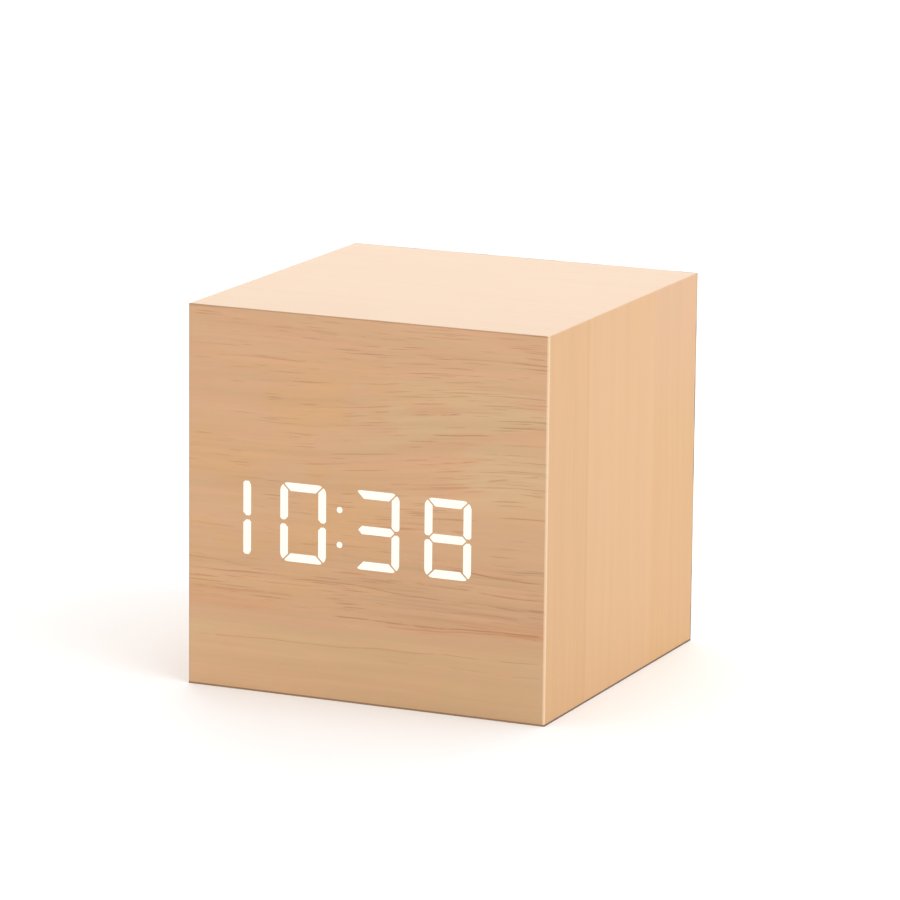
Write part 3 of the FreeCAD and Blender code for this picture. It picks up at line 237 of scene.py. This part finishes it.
# how far in from its edges the film is painted darker (top, left and rear) and given a painted
# highlight (front and wrap), in millimetres
TOP_EDGE_DARK = (0.28, 0.14)
LEFT_EDGE_DARK = (0.16, 0.28)
FRONT_HIGHLIGHT = (0.38, 0.22)
WRAP_HIGHLIGHT = (0.38, 0.50)
REAR_DARK_BAND = (0.55, 0.25)

# joints between the staves on the sides, in millimetres from the middle of the depth
FIRST_JOINT, SECOND_JOINT = -14.6, 12.6


def streaks(g, along, across, length, width, seed, detail=2.0, roughness=0.5):
    """Noise drawn out along the grain, about length by width millimetres a streak."""
    place = g.join(g.multiply(along, 1 / length), g.multiply(across, 1 / width), seed)
    return g.noise(place, detail=detail, roughness=roughness)


def fine_grain(g, along, across, length, width, seed):
    return streaks(g, along, across, length, width, seed, detail=3.0, roughness=0.65)


def wander(g, along, across, length, width, seed, size):
    """Slow noise round 0, mostly within a fifth of size up or down."""
    noise = streaks(g, along, across, length, width, seed, detail=1.0)
    return g.multiply(g.minus(noise, 0.5), size)


def pores(g, along, across, length, width, seed, sparse):
    """Thin dark dashes along the grain, 0 to 1; a higher sparse leaves fewer of them."""
    grain = streaks(g, along, across, length, width, seed, detail=0.0)
    low = g.plus(sparse, 0.60)
    return g.step(grain, low, g.plus(low, 0.13))


def darken(g, colour, pore, strength):
    """The colour with pores stained into it."""
    return g.mix(g.multiply(pore, strength), colour, g.mix(1.0, colour, PORE_TINT, "MULTIPLY"))


def stretches(g, along, least):
    """Darker along the rear arris: 1 in some stretches, down to least between them."""
    return g.step(streaks(g, along, g.y, 9.0, 30.0, 4.9, detail=1.0), 0.44, 0.58, least, 1.0)


def swing(g, value, size):
    """A 0 to 1 value as a factor round 1: from 1 - size at 0 to 1 + size at 1."""
    return g.rise(value, 1 - size, 2 * size)


# long streaks of the front's veneer, in millimetres from the middle of its foot:
# height at the middle, climb, left end, right end, strength, half thickness
STREAKS = (
    (9.2, 0.026, -30, 31, 0.55, 0.15), (7.6, 0.003, 3, 11, 0.35, 0.18),
    (7.5, 0.005, 14, 31, 0.35, 0.18), (13.9, 0.010, -6, 31, 0.85, 0.20),
    (13.1, 0.030, 3, 31, 0.50, 0.20), (15.9, -0.02, -31, -12, 0.35, 0.30),
    (18.9, -0.030, -8, 31, 0.60, 0.20), (17.0, -0.02, 10, 31, 0.45, 0.20),
    (20.9, -0.020, 8, 19, 0.70, 0.20), (20.8, -0.025, 19, 31, 0.75, 0.20),
    (24.0, -0.035, 14, 31, 0.80, 0.20), (19.4, 0.010, -31, -13, 0.60, 0.20),
    (29.8, -0.02, -20, -7, 0.45, 0.18), (26.4, -0.01, -31, -22, 0.35, 0.18),
    (47.0, 0.085, 5, 17, 0.85, 0.18), (48.9, 0.085, 17, 23, 0.60, 0.18),
    (42.9, 0.080, 6, 13, 0.70, 0.18), (44.0, 0.070, 11, 23, 0.80, 0.18),
    (45.9, 0.045, 25, 31, 0.70, 0.18), (38.9, 0.110, 12, 20, 0.60, 0.18),
    (34.2, 0.180, 20, 31, 0.80, 0.18), (35.2, 0.100, 9, 19, 0.60, 0.18),
    (41.2, 0.055, 18, 30, 0.50, 0.16), (54.6, 0.010, -27, -6, 0.35, 0.18),
    (59.4, -0.012, -22, 8, 0.40, 0.22), (57.0, 0.015, 8, 31, 0.35, 0.18))


def front_height(g):
    """The height along the grain's own lines, which climb to the right in the upper half."""
    climb = g.step(g.x, *CLIMB_ALONG, 0, 3.6)
    climb = g.multiply(climb, g.step(g.z, *CLIMB_FROM))
    climb = g.multiply(climb, g.step(g.z, *CLIMB_UNTIL, 1.0, 0.2))
    return g.plus(g.minus(g.z, climb), wander(g, g.x, g.z, 38, 14, 2.3, 1.8))


def front_colour(g, u, medium, blotch):
    """Pink bands, yellow patches upper right, warm ones to the left, a red band, a pale foot."""
    x, z = g.x, g.z
    colour = g.mix(g.step(medium, 0.40, 0.66), WOOD, WOOD_PINK)
    patch = g.step(streaks(g, x, u, 17, 3.6, 1.1), 0.42, 0.58)
    upper_right = g.multiply(g.step(x, *YELLOW_ALONG), g.window(z, *YELLOW_UP, 5))
    colour = g.mix(g.multiply(g.plus(upper_right, 0.25), patch), colour, WOOD_YELLOW)
    left = g.multiply(g.step(x, *WARM_ALONG, 1.0, 0.2), g.window(z, *WARM_UP, 9))
    colour = g.mix(g.multiply(left, g.step(blotch, 0.42, 0.62)), colour, WOOD_WARM)
    # the red band is striped, and strongest towards both ends
    left_end = g.multiply(g.window(z, *RED_LEFT_UP, 0.9), g.step(x, *RED_LEFT_ALONG, 0.65, 0.0))
    level = g.minus(z, g.multiply(x, RED_RIGHT_SLOPE))
    right_end = g.multiply(g.window(level, *RED_RIGHT_UP, 0.8),
                           g.step(x, *RED_RIGHT_ALONG, 0.0, 0.8))
    stripes = g.step(streaks(g, x, u, 30, 0.8, 2.9), 0.40, 0.60, 0.35, 1.0)
    colour = g.mix(g.multiply(g.plus(left_end, right_end), stripes), colour, WOOD_RED)
    foot = g.step(g.plus(u, g.multiply(medium, 2.0)), *FOOT_UP, 0.85, 0.0)
    return g.mix(foot, colour, g.mix(g.step(blotch, 0.40, 0.60), WOOD_PALE, WOOD_FOOT))


def front_shade(g, u):
    """Darker towards the lower right, streaky at the digits' feet, darker along the top and left
    edges.
    """
    x, z = g.x, g.z
    low_right = g.multiply(g.step(x, *LOW_RIGHT_ALONG), g.step(z, *LOW_RIGHT_UP, 1.0, 0.0))
    feet = g.multiply(g.window(z, *DIGIT_FEET_UP, 3), g.step(x, *DIGIT_FEET_ALONG, 0.35, 1.0))
    feet = g.multiply(feet, g.step(streaks(g, x, u, 36, 0.7, 9.3), 0.44, 0.68))
    dark_edges = g.math("MAXIMUM", g.step(z, *(TOP - inset for inset in TOP_EDGE_DARK)),
                    g.step(x, *(inset - HALF_WIDTH for inset in LEFT_EDGE_DARK), 1.0, 0.0))
    shade = g.multiply(g.dim(low_right, 0.055), g.dim(feet, 0.11))
    return g.multiply(shade, g.dim(dark_edges, 0.22))


def front_pores(g, u):
    """Short and long pores: most of them right and middle, almost none in the pale foot."""
    crowd = streaks(g, g.x, u, 15, 5, 8.2)
    sparse = g.multiply(g.minus(0.70, crowd), 0.42)
    sparse = g.plus(sparse, g.step(g.x, *FEW_PORES_LEFT, 0.05, 0.0))
    sparse = g.plus(sparse, g.step(g.z, *FEW_PORES_LOW, 0.16, 0.0))
    short = pores(g, g.x, u, 6.5, 0.22, 3.1, sparse)
    return short, pores(g, g.x, u, 14.0, 0.27, 6.4, g.plus(sparse, 0.02))


def long_streaks(g):
    """Each of STREAKS as a thin line with soft ends, wandering a little and broken in places."""
    x, z = g.x, g.z
    level = g.plus(z, wander(g, x, z, 12, 9, 3.7, 1.3))
    broken = g.step(streaks(g, x, z, 4.0, 1.5, 6.6), 0.34, 0.56, 0.15, 1.0)
    fade = 2
    lines = 0.0
    for height, slope, start, end, strength, half in STREAKS:
        off_line = g.math("ABSOLUTE", g.minus(level, g.rise(x, height, slope)))
        line = g.multiply(g.step(off_line, 0.0, half, strength, 0.0),
                          g.window(x, start + fade, end - fade, fade))
        lines = g.math("MAXIMUM", lines, line)
    return g.multiply(lines, broken)


def front_film():
    """The front: grain across, with bands, blotches, short pores and a few long streaks."""
    g = Graph("wood_film_front", IOR=1.45)
    u = front_height(g)
    fine = fine_grain(g, g.x, u, 24, 0.40, 1.7)
    medium = streaks(g, g.x, u, 34, 1.5, 4.1)
    broad = streaks(g, g.x, u, 46, 5.5, 7.9)
    blotch = streaks(g, g.x, g.z, 13, 8, 5.5, detail=3.0, roughness=0.6)

    tone = g.multiply(swing(g, fine, 0.06), swing(g, medium, 0.08))
    tone = g.multiply(tone, g.multiply(swing(g, broad, 0.06), swing(g, blotch, 0.03)))
    tone = g.multiply(tone, front_shade(g, u))
    colour = g.scale(front_colour(g, u, medium, blotch), tone)

    short, long = front_pores(g, u)
    pore = g.math("MAXIMUM", g.multiply(short, 0.5), g.multiply(long, 0.6))
    pore = g.math("MAXIMUM", pore, long_streaks(g))
    colour = darken(g, colour, pore, 0.62)
    # painted highlight along the front's right edge, standing for the light caught on that edge
    edge_highlight = g.step(g.x, *(HALF_WIDTH - inset for inset in FRONT_HIGHLIGHT))
    colour = g.mix(g.multiply(edge_highlight, 0.8), colour, EDGE_HIGHLIGHT)

    # a light relief: it is worked out three times over, so the long streaks stay out of it
    relief = g.minus(g.multiply(fine, 0.35), short)
    return g.finish(Base_Color=colour, Roughness=g.rise(fine, 0.40, 0.14),
                    Normal=g.bump(relief, 0.03))


def wrap_film():
    """The sides and top: one film folded over three boards, its grain in three staves."""
    g = Graph("wood_film_wrap", IOR=1.45)
    top = g.step(g.facing[2], 0.6, 0.8)
    # along the grain: up the sides, and from left to right over the top
    along = g.mix(top, g.join(g.z, g.z, g.z), g.join(g.x, g.x, g.x))
    along = g.split(along)[0]
    # the left side's pattern is taken from another place than the right side's
    side = g.multiply(g.step(g.x, -1, 1), 40)
    u = g.plus(g.plus(g.y, wander(g, along, g.y, 34, 11, side, 2.0)), side)
    fine = fine_grain(g, along, u, 26, 0.40, 2.2)
    medium = streaks(g, along, u, 48, 1.9, 5.2)
    broad = streaks(g, along, u, 90, 5.0, 6.1)

    second = g.window(g.y, FIRST_JOINT, SECOND_JOINT, 0.25)
    third = g.step(g.y, SECOND_JOINT - 0.1, SECOND_JOINT + 0.4)
    colour = g.mix(second, SIDE_WOOD, SIDE_PALE)
    colour = g.mix(third, colour, SIDE_WARM)
    colour = g.mix(g.multiply(third, g.step(g.z, TOP / 2 - 1, TOP)), colour, SIDE_PINK)
    tone = g.multiply(swing(g, fine, 0.05), swing(g, medium, 0.05))
    tone = g.multiply(tone, swing(g, broad, 0.035))
    # slender darker lines, hairlines mostly in the first stave, and the first glue joint
    lines = g.step(streaks(g, along, u, 60, 0.8, 8.8, detail=1.0), 0.60, 0.74)
    hairs = g.step(streaks(g, along, u, 40, 0.34, 12.7, detail=1.0), 0.54, 0.70)
    hairs = g.multiply(hairs, g.step(g.y, FIRST_JOINT - 1.5, FIRST_JOINT + 3.0, 0.8, 0.2))
    off_glue = g.math("ABSOLUTE", g.minus(g.y, FIRST_JOINT - 0.4))
    glue = g.step(off_glue, 0.1, 0.75, 1.0, 0.0)
    lines = g.math("MAXIMUM", g.multiply(lines, 0.6), g.multiply(glue, 0.7))
    lines = g.math("MAXIMUM", lines, hairs)
    colour = g.scale(colour, g.multiply(tone, g.dim(lines, 0.075)))
    # the top is painted paler, with softer grain: a painted sheen for the light washing over it
    soft = g.multiply(swing(g, g.multiply(g.plus(fine, broad), 0.5), 0.06),
                      swing(g, medium, 0.03))
    soft = g.multiply(soft, g.dim(lines, 0.04))
    colour = g.mix(g.multiply(top, 0.9), colour, g.scale(TOP_PAINTED_SHEEN, soft))
    # painted darker along the rear edge, in stretches
    rear = g.step(g.y, *(HALF_DEPTH - inset for inset in REAR_DARK_BAND))
    rear = g.multiply(rear, stretches(g, along, 0.25))
    colour = g.scale(colour, g.dim(rear, 0.45))
    # painted highlight along the front edge of the sides and top
    edge_highlight = g.step(g.y, *(inset - HALF_DEPTH for inset in WRAP_HIGHLIGHT), 1.0, 0.0)
    colour = g.mix(g.multiply(edge_highlight, 0.25), colour, EDGE_HIGHLIGHT)
    return g.finish(Base_Color=colour, Roughness=g.rise(fine, 0.40, 0.12),
                    Normal=g.bump(fine, 0.012))


def plain_film(g, along, across):
    """For the films that are rarely seen: sets roughness and relief, and gives the colour."""
    fine = fine_grain(g, along, across, 22, 0.42, 1.7)
    medium = streaks(g, along, across, 40, 2.0, 4.4)
    pore = pores(g, along, across, 5.0, 0.20, 3.3, 0.11)
    colour = g.mix(g.step(medium, 0.35, 0.65), WOOD, SIDE_PALE)
    colour = g.scale(colour, g.multiply(swing(g, fine, 0.06), swing(g, medium, 0.05)))
    relief = g.bump(g.minus(g.multiply(fine, 0.4), pore), 0.02)
    g.finish(Roughness=g.rise(fine, 0.42, 0.14), Normal=relief)
    return darken(g, colour, pore, 0.25)


def rim_film():
    """The rear rim: four strips, mitred at the corners, painted darker on their outer edges."""
    g = Graph("wood_film_rim", IOR=1.45)
    across_mitre = g.minus(g.math("ABSOLUTE", g.x),
                           g.math("ABSOLUTE", g.minus(g.z, TOP / 2)))
    upright = g.step(across_mitre, -0.05, 0.05)
    pair = g.mix(upright, g.join(g.x, g.z, 0), g.join(g.z, g.x, 0))
    along, across, _ = g.split(pair)
    colour = plain_film(g, along, across)
    edge = g.multiply(g.step(g.facing[1], 0.5, 0.8, 0.85, 0.0), stretches(g, along, 0.3))
    return g.finish(Base_Color=g.mix(edge, colour, REAR_RIM_EDGE_DARK))


def base_film():
    """The underside: scuffed by the table, with painted shadow on its edge, darkest at the sides.
    """
    g = Graph("wood_film_base", IOR=1.45)
    colour = plain_film(g, g.x, g.y)
    scuff = g.step(g.noise(g.stretch(g.place, (0.9, 5.0, 1.0)), detail=4.0), 0.62, 0.72)
    colour = g.mix(g.multiply(scuff, 0.25), colour, times(WOOD, 0.55))
    # painted contact shadow on the base film's edge, darkest on the left and right sides
    edge_shadow = g.mix(g.step(g.facing[0], 0.5, 0.8), BASE_EDGE_SHADOW, BASE_SIDE_SHADOW)
    edge = g.step(g.facing[2], 0.4, 0.7, 1.0, 0.0)
    return g.finish(Base_Color=g.mix(g.multiply(edge, 0.9), colour, edge_shadow))


def lit_segment():
    """Veneer with light behind it: near white, with a trace of the grain."""
    g = Graph("lit_veneer", Base_Color=(0.22, 0.22, 0.20, 1.0), Roughness=0.6)
    grain = streaks(g, g.x, g.z, 6, 0.3, 2.0, detail=2.0)
    glow = g.mix(g.step(grain, 0.55, 0.8), (1.0, 1.0, 0.87, 1.0), (1.0, 0.97, 0.80, 1.0))
    g.put(g.shader.inputs["Emission Strength"], 0.80)
    return g.finish(Emission_Color=glow, Normal=g.bump(grain, 0.02))


def fibreboard():
    """Sawn fibreboard: fawn felt of short fibres, smoother on its faces."""
    g = Graph("fibreboard_raw", Roughness=0.85)
    felt = g.noise(g.place, scale=2.6, detail=5.0, roughness=0.75, distortion=0.6)
    cloud = g.noise(g.place, scale=0.22, detail=2.0)
    fleck = g.step(g.noise(g.place, scale=4.2, detail=1.0), 0.66, 0.74)
    colour = g.mix(g.step(felt, 0.3, 0.7), (0.300, 0.190, 0.105, 1.0), (0.440, 0.300, 0.175, 1.0))
    colour = g.scale(colour, swing(g, cloud, 0.12))
    colour = g.mix(g.multiply(fleck, 0.5), colour, (0.17, 0.10, 0.055, 1.0))
    return g.finish(Base_Color=colour, Roughness=g.rise(felt, 0.72, 0.2),
                    Normal=g.bump(felt, 0.12))


# ---------------------------------------------------------------- plastics

def moulded(name, colour, rough, grain_mm=0.16, grain_depth=0.02, edge_mm=0.25, worn=0.35,
            **settings):
    """Injection-moulded plastic: a spark-eroded grain, dust in broad patches, polished edges."""
    g = Graph(name, **settings)
    spark = g.noise(g.place, scale=1 / grain_mm, detail=2.0, roughness=0.6)
    pits = g.step(spark, 0.42, 0.62)
    haze = g.noise(g.place, scale=0.09, detail=4.0, roughness=0.6)
    rubbed = g.edges(edge_mm)
    tone = g.mix(g.step(haze, 0.35, 0.7), colour, times(colour, 1.22))
    tone = g.mix(g.multiply(rubbed, worn), tone, times(colour, 1.9))
    tone = g.scale(tone, swing(g, spark, 0.06))
    rough_here = g.plus(g.rise(haze, rough - 0.08, 0.16), g.multiply(rubbed, -0.14))
    return g.finish(Base_Color=tone, Roughness=rough_here,
                    Normal=g.bump(pits, grain_depth, 0.7, g.round_edges(edge_mm)))


def light_guide():
    """Clear-milky resin poured into the wells."""
    g = Graph("light_guide_resin", Transmission_Weight=0.55, IOR=1.5)
    cloud = g.noise(g.place, scale=1.1, detail=3.0)
    colour = g.mix(cloud, (0.86, 0.87, 0.80, 1.0), (0.95, 0.94, 0.88, 1.0))
    return g.finish(Base_Color=colour, Roughness=g.rise(cloud, 0.25, 0.2),
                    Normal=g.bump(cloud, 0.02))


def led():
    """Surface-mount lamps: a yellow phosphor window facing forward in a white shell."""
    g = Graph("led_body", Roughness=0.35)
    front = g.step(g.signed_facing[1], -0.9, -0.6, 1.0, 0.0)
    grain = g.noise(g.place, scale=7.0, detail=3.0)
    phosphor = g.mix(grain, (0.78, 0.62, 0.10, 1.0), (0.90, 0.76, 0.22, 1.0))
    colour = g.mix(front, (0.80, 0.80, 0.76, 1.0), phosphor)
    return g.finish(Base_Color=colour, Roughness=g.rise(grain, 0.3, 0.2),
                    Normal=g.bump(grain, 0.01))


def wire(name, colour):
    """Flexible vinyl insulation, faintly uneven from the extruder."""
    g = Graph(name, Specular_IOR_Level=0.45)
    ripple = g.noise(g.place, scale=0.9, detail=3.0)
    tone = g.mix(ripple, times(colour, 0.85), times(colour, 1.15))
    return g.finish(Base_Color=tone, Roughness=g.rise(ripple, 0.32, 0.2),
                    Normal=g.bump(ripple, 0.03))


def ribbon():
    """Flat cable: one moulded rib for each wire, and a red stripe along the first."""
    left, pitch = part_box("ribbon_cable")[0].x / MM, 1.27
    g = Graph("ribbon_vinyl", Specular_IOR_Level=0.4)
    lane = g.math("DIVIDE", g.minus(g.x, left), pitch)
    place = g.math("FRACT", lane)
    rib = g.math("SINE", g.multiply(place, math.pi))
    dust = g.noise(g.place, scale=1.6, detail=3.0)
    first = g.step(lane, 0.95, 1.0, 1.0, 0.0)
    grey = g.mix(dust, (0.40, 0.41, 0.43, 1.0), (0.52, 0.53, 0.55, 1.0))
    colour = g.mix(first, grey, (0.55, 0.03, 0.03, 1.0))
    # painted shade in the grooves between the ribs
    colour = g.scale(colour, g.step(rib, 0.0, 0.5, 0.55, 1.0))
    return g.finish(Base_Color=colour, Roughness=g.rise(dust, 0.4, 0.15),
                    Normal=g.bump(rib, 0.25))


# ---------------------------------------------------------------- metals and boards

def metal(name, colour, rough, scale=(1.0, 1.0, 1.0), depth=0.004, edge_mm=0.08, **settings):
    """Plated metal: brushed along one way, stained in patches, brighter on its edges."""
    g = Graph(name, Metallic=1.0, **settings)
    brush = g.noise(g.stretch(g.place, scale), detail=4.0, roughness=0.7)
    stain = g.noise(g.place, scale=0.7, detail=3.0)
    tone = g.mix(g.step(stain, 0.35, 0.7), colour, times(colour, 0.78))
    tone = g.scale(tone, swing(g, brush, 0.10))
    rough_here = g.plus(g.rise(brush, rough - 0.11, 0.22),
                        g.multiply(stain, 0.08))
    return g.finish(Base_Color=tone, Roughness=rough_here,
                    Normal=g.bump(brush, depth, 1.0, g.round_edges(edge_mm)))


def circuit_board(name, mask):
    """Glass-epoxy board: solder mask over etched tracks, bare laminate on its sawn edges."""
    g = Graph(name, Coat_Weight=0.25, Coat_Roughness=0.2)
    # tracks run one way or the other in square patches, as an autorouter leaves them
    patch, track_pitch = 3.2, 0.8
    cell = g.join(g.math("FLOOR", g.multiply(g.x, 1 / patch)),
                  g.math("FLOOR", g.multiply(g.z, 1 / patch)), 0)
    toss = g.add("ShaderNodeTexWhiteNoise")
    g.put(toss.inputs["Vector"], cell)
    way = g.math("GREATER_THAN", toss.outputs["Value"], 0.5)
    run = g.plus(g.multiply(g.x, way), g.multiply(g.z, g.minus(1.0, way)))
    lane = g.math("FRACT", g.multiply(run, 1 / track_pitch))
    track = g.step(g.math("ABSOLUTE", g.minus(lane, 0.5)), 0.14, 0.20, 1.0, 0.0)
    pour = g.step(g.noise(g.place, scale=0.16, detail=1.0), 0.50, 0.52)
    copper = g.math("MAXIMUM", track, pour)
    weave = g.noise(g.place, scale=2.2, detail=3.0)
    colour = g.mix(copper, mask, times(mask, 1.75))
    colour = g.scale(colour, swing(g, weave, 0.08))
    sawn = g.step(g.facing[1], 0.5, 0.7, 1.0, 0.0)
    laminate = g.mix(weave, (0.42, 0.38, 0.20, 1.0), (0.55, 0.50, 0.30, 1.0))
    colour = g.mix(sawn, colour, laminate)
    return g.finish(Base_Color=colour, Roughness=g.rise(weave, 0.3, 0.2),
                    Normal=g.bump(copper, 0.03))


def battery_sleeve():
    """Printed shrink sleeve: slate blue with a pale band at the positive end of each cell."""
    cell_count = 3
    low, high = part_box("battery_sleeves")
    pitch = (high.z - low.z) / cell_count / MM
    g = Graph("sleeve_film", Coat_Weight=0.5, Coat_Roughness=0.15)
    cell = g.math("FLOOR", g.multiply(g.minus(g.z, low.z / MM), 1 / pitch))
    # the cells lie head to tail, so the way to the positive end turns from one to the next
    turned = g.minus(g.multiply(g.math("MODULO", cell, 2.0), 2.0), 1.0)
    toward_plus = g.multiply(g.x, turned)
    band_start = 8.4
    band = g.step(toward_plus, band_start, band_start + 0.2)
    rule = g.window(toward_plus, band_start - 1.2, band_start - 0.7, 0.1)
    crinkle = g.noise(g.stretch(g.place, (2.5, 0.6, 0.6)), detail=3.0)
    blue, pale = (0.055, 0.105, 0.165, 1.0), (0.56, 0.58, 0.57, 1.0)
    dark = (0.030, 0.045, 0.065, 1.0)
    colour = g.mix(rule, g.mix(band, blue, pale), dark)
    colour = g.scale(colour, swing(g, crinkle, 0.07))
    return g.finish(Base_Color=colour, Roughness=g.rise(crinkle, 0.25, 0.15),
                    Normal=g.bump(crinkle, 0.03))


BLACK = (0.013, 0.013, 0.014, 1.0)
black_case = moulded("black_abs", BLACK, 0.44, grain_mm=0.30, grain_depth=0.035,
                     Specular_IOR_Level=0.34)
black_gloss = moulded("black_acetal", times(BLACK, 0.8), 0.30, grain_mm=0.5, grain_depth=0.006)
black_epoxy = moulded("black_epoxy", times(BLACK, 1.3), 0.62, grain_mm=0.08, edge_mm=0.1)
button_abs = moulded("button_abs", times(BLACK, 1.6), 0.36, grain_mm=0.5, grain_depth=0.004,
                     Specular_IOR_Level=0.4)
white_abs = moulded("white_abs", (0.74, 0.74, 0.71, 1.0), 0.36, grain_mm=0.4,
                    grain_depth=0.008, worn=0.0)
white_nylon = moulded("white_nylon", (0.66, 0.65, 0.60, 1.0), 0.42, grain_mm=0.4,
                      grain_depth=0.008, worn=0.0)
sleeve_pvc = moulded("capacitor_pvc", (0.015, 0.022, 0.060, 1.0), 0.28, grain_mm=0.8,
                     grain_depth=0.006)
resistor_body = moulded("resistor_ceramic", (0.045, 0.05, 0.055, 1.0), 0.4, grain_mm=0.2)
thermistor_body = moulded("thermistor_epoxy", (0.05, 0.035, 0.02, 1.0), 0.25, grain_mm=0.7,
                          grain_depth=0.02)
zinc = metal("zinc_steel", (0.60, 0.61, 0.63, 1.0), 0.34, (6.0, 1.0, 1.2))
nickel = metal("nickel_plate", (0.68, 0.64, 0.57, 1.0), 0.26, (1.0, 5.0, 1.0))
tin = metal("tin_plate", (0.72, 0.72, 0.71, 1.0), 0.34, (2.0, 2.0, 5.0))
can = metal("cell_steel", (0.66, 0.66, 0.65, 1.0), 0.24, (4.0, 0.8, 0.8))

FINISHES = {
    front_film(): ["front_film"],
    wrap_film(): ["wrap_film"],
    base_film(): ["base_film"],
    rim_film(): ["rear_edge_film"],
    lit_segment(): ["digit_hour_tens", "digit_hour_units", "colon_dots",
                    "digit_minute_tens", "digit_minute_units"],
    fibreboard(): ["left_board", "right_board", "top_board", "bottom_board",
                   "front_board", "corner_blocks"],
    black_case: ["rear_panel", "battery_door"],
    black_gloss: ["jack_body", "tact_switches", "set_plunger", "up_plunger", "down_plunger"],
    black_epoxy: ["clock_chip", "buzzer"],
    button_abs: ["set_button", "up_button", "down_button"],
    white_abs: ["display_block"],
    white_nylon: ["board_spacers", "display_connector", "control_connector"],
    light_guide(): ["light_guides"],
    led(): ["segment_leds"],
    sleeve_pvc: ["filter_capacitor"],
    resistor_body: ["resistors"],
    thermistor_body: ["thermistor"],
    circuit_board("board_green", (0.010, 0.085, 0.035, 1.0)): ["display_board", "control_board"],
    zinc: ["board_screws", "control_board_screws", "panel_screws"],
    nickel: ["contact_plates", "contact_springs", "jack_pin", "jack_contact"],
    tin: ["chip_leads", "crystal"],
    can: ["battery_cells"],
    battery_sleeve(): ["battery_sleeves"],
    ribbon(): ["ribbon_cable"],
    wire("red_vinyl", (0.52, 0.020, 0.015, 1.0)): ["positive_lead"],
    wire("black_vinyl", (0.020, 0.020, 0.020, 1.0)): ["negative_lead", "jack_leads"],
}
for material, names in FINISHES.items():
    for name in names:
        for slot in NODES[name].material_slots:
            slot.material = material
finished = {name for names in FINISHES.values() for name in names}
if finished != set(NODES):
    raise RuntimeError("without a finish: %s" % sorted(set(NODES) - finished))


# ---------------------------------------------------------------- stage, lights, camera

def floor_material():
    """White paper, very slightly uneven."""
    g = Graph("studio_floor", Specular_IOR_Level=0.1)
    soft = g.noise(g.place, scale=0.01, detail=2.0)
    colour = g.mix(soft, (0.93, 0.93, 0.93, 1.0), (0.95, 0.95, 0.95, 1.0))
    return g.finish(Base_Color=colour, Roughness=g.rise(soft, 0.8, 0.1))


def floor(half_size):
    mesh = bpy.data.meshes.new("studio_floor")
    signs = ((-1, -1), (1, -1), (1, 1), (-1, 1))
    corners = [(x * half_size, y * half_size, 0) for x, y in signs]
    mesh.from_pydata(corners, [], [(0, 1, 2, 3)])
    piece = bpy.data.objects.new("studio_floor", mesh)
    bpy.context.scene.collection.objects.link(piece)
    mesh.materials.append(floor_material())
    piece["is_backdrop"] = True


def area_light(name, place, target, width, height, watts):
    """A white softbox at place, turned to face target."""
    light = bpy.data.lights.new(name, "AREA")
    light.shape = "RECTANGLE"
    light.size, light.size_y = width, height
    light.energy = watts
    lamp = bpy.data.objects.new(name, light)
    bpy.context.scene.collection.objects.link(lamp)
    lamp.location = place
    aim = Vector(target) - Vector(place)
    lamp.rotation_euler = aim.to_track_quat("-Z", "Y").to_euler()
    lamp.visible_camera = False


def white_world():
    """Even white light from all round."""
    world = bpy.data.worlds.new("studio")
    world.use_nodes = True
    background = world.node_tree.nodes["Background"]
    background.inputs["Color"].default_value = (1, 1, 1, 1)
    background.inputs["Strength"].default_value = 1.0
    bpy.context.scene.world = world


def camera():
    """A long lens from the front right, a little above."""
    low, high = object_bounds()
    middle = (Vector(low) + Vector(high)) / 2
    # angles in degrees, places in metres, the lens and its film in millimetres
    azimuth, elevation, roll = (math.radians(angle) for angle in (23.95, 12.10, 0.58))
    distance, aim_right, aim_up = 0.8888, 0.00064, 0.00418
    focal_length, film_width = 219.24, 36.0
    back = Vector((math.sin(azimuth) * math.cos(elevation),
                   -math.cos(azimuth) * math.cos(elevation), math.sin(elevation)))
    level = Vector((math.cos(azimuth), math.sin(azimuth), 0))
    upward = back.cross(level)
    right = level * math.cos(roll) + upward * math.sin(roll)
    up = back.cross(right)
    aim = middle + level * aim_right + upward * aim_up
    lens = bpy.data.cameras.new("camera")
    lens.lens, lens.sensor_width = focal_length, film_width
    lens.clip_start, lens.clip_end = 0.05, 50.0
    view = bpy.data.objects.new("camera", lens)
    bpy.context.scene.collection.objects.link(view)
    turn = Matrix((right, up, back)).transposed().to_4x4()
    view.matrix_world = Matrix.Translation(aim + back * distance) @ turn
    bpy.context.scene.camera = view


floor(half_size=12.0)
area_light("key", (1.6, -0.3, 1.3), (0, 0, 0.03), width=1.6, height=1.6, watts=13)
area_light("back_softbox", (-0.5, 2.2, 0.7), (0, 0, 0.1), width=3.0, height=1.4, watts=26)
white_world()
bpy.context.scene.view_settings.view_transform = "Standard"
camera()
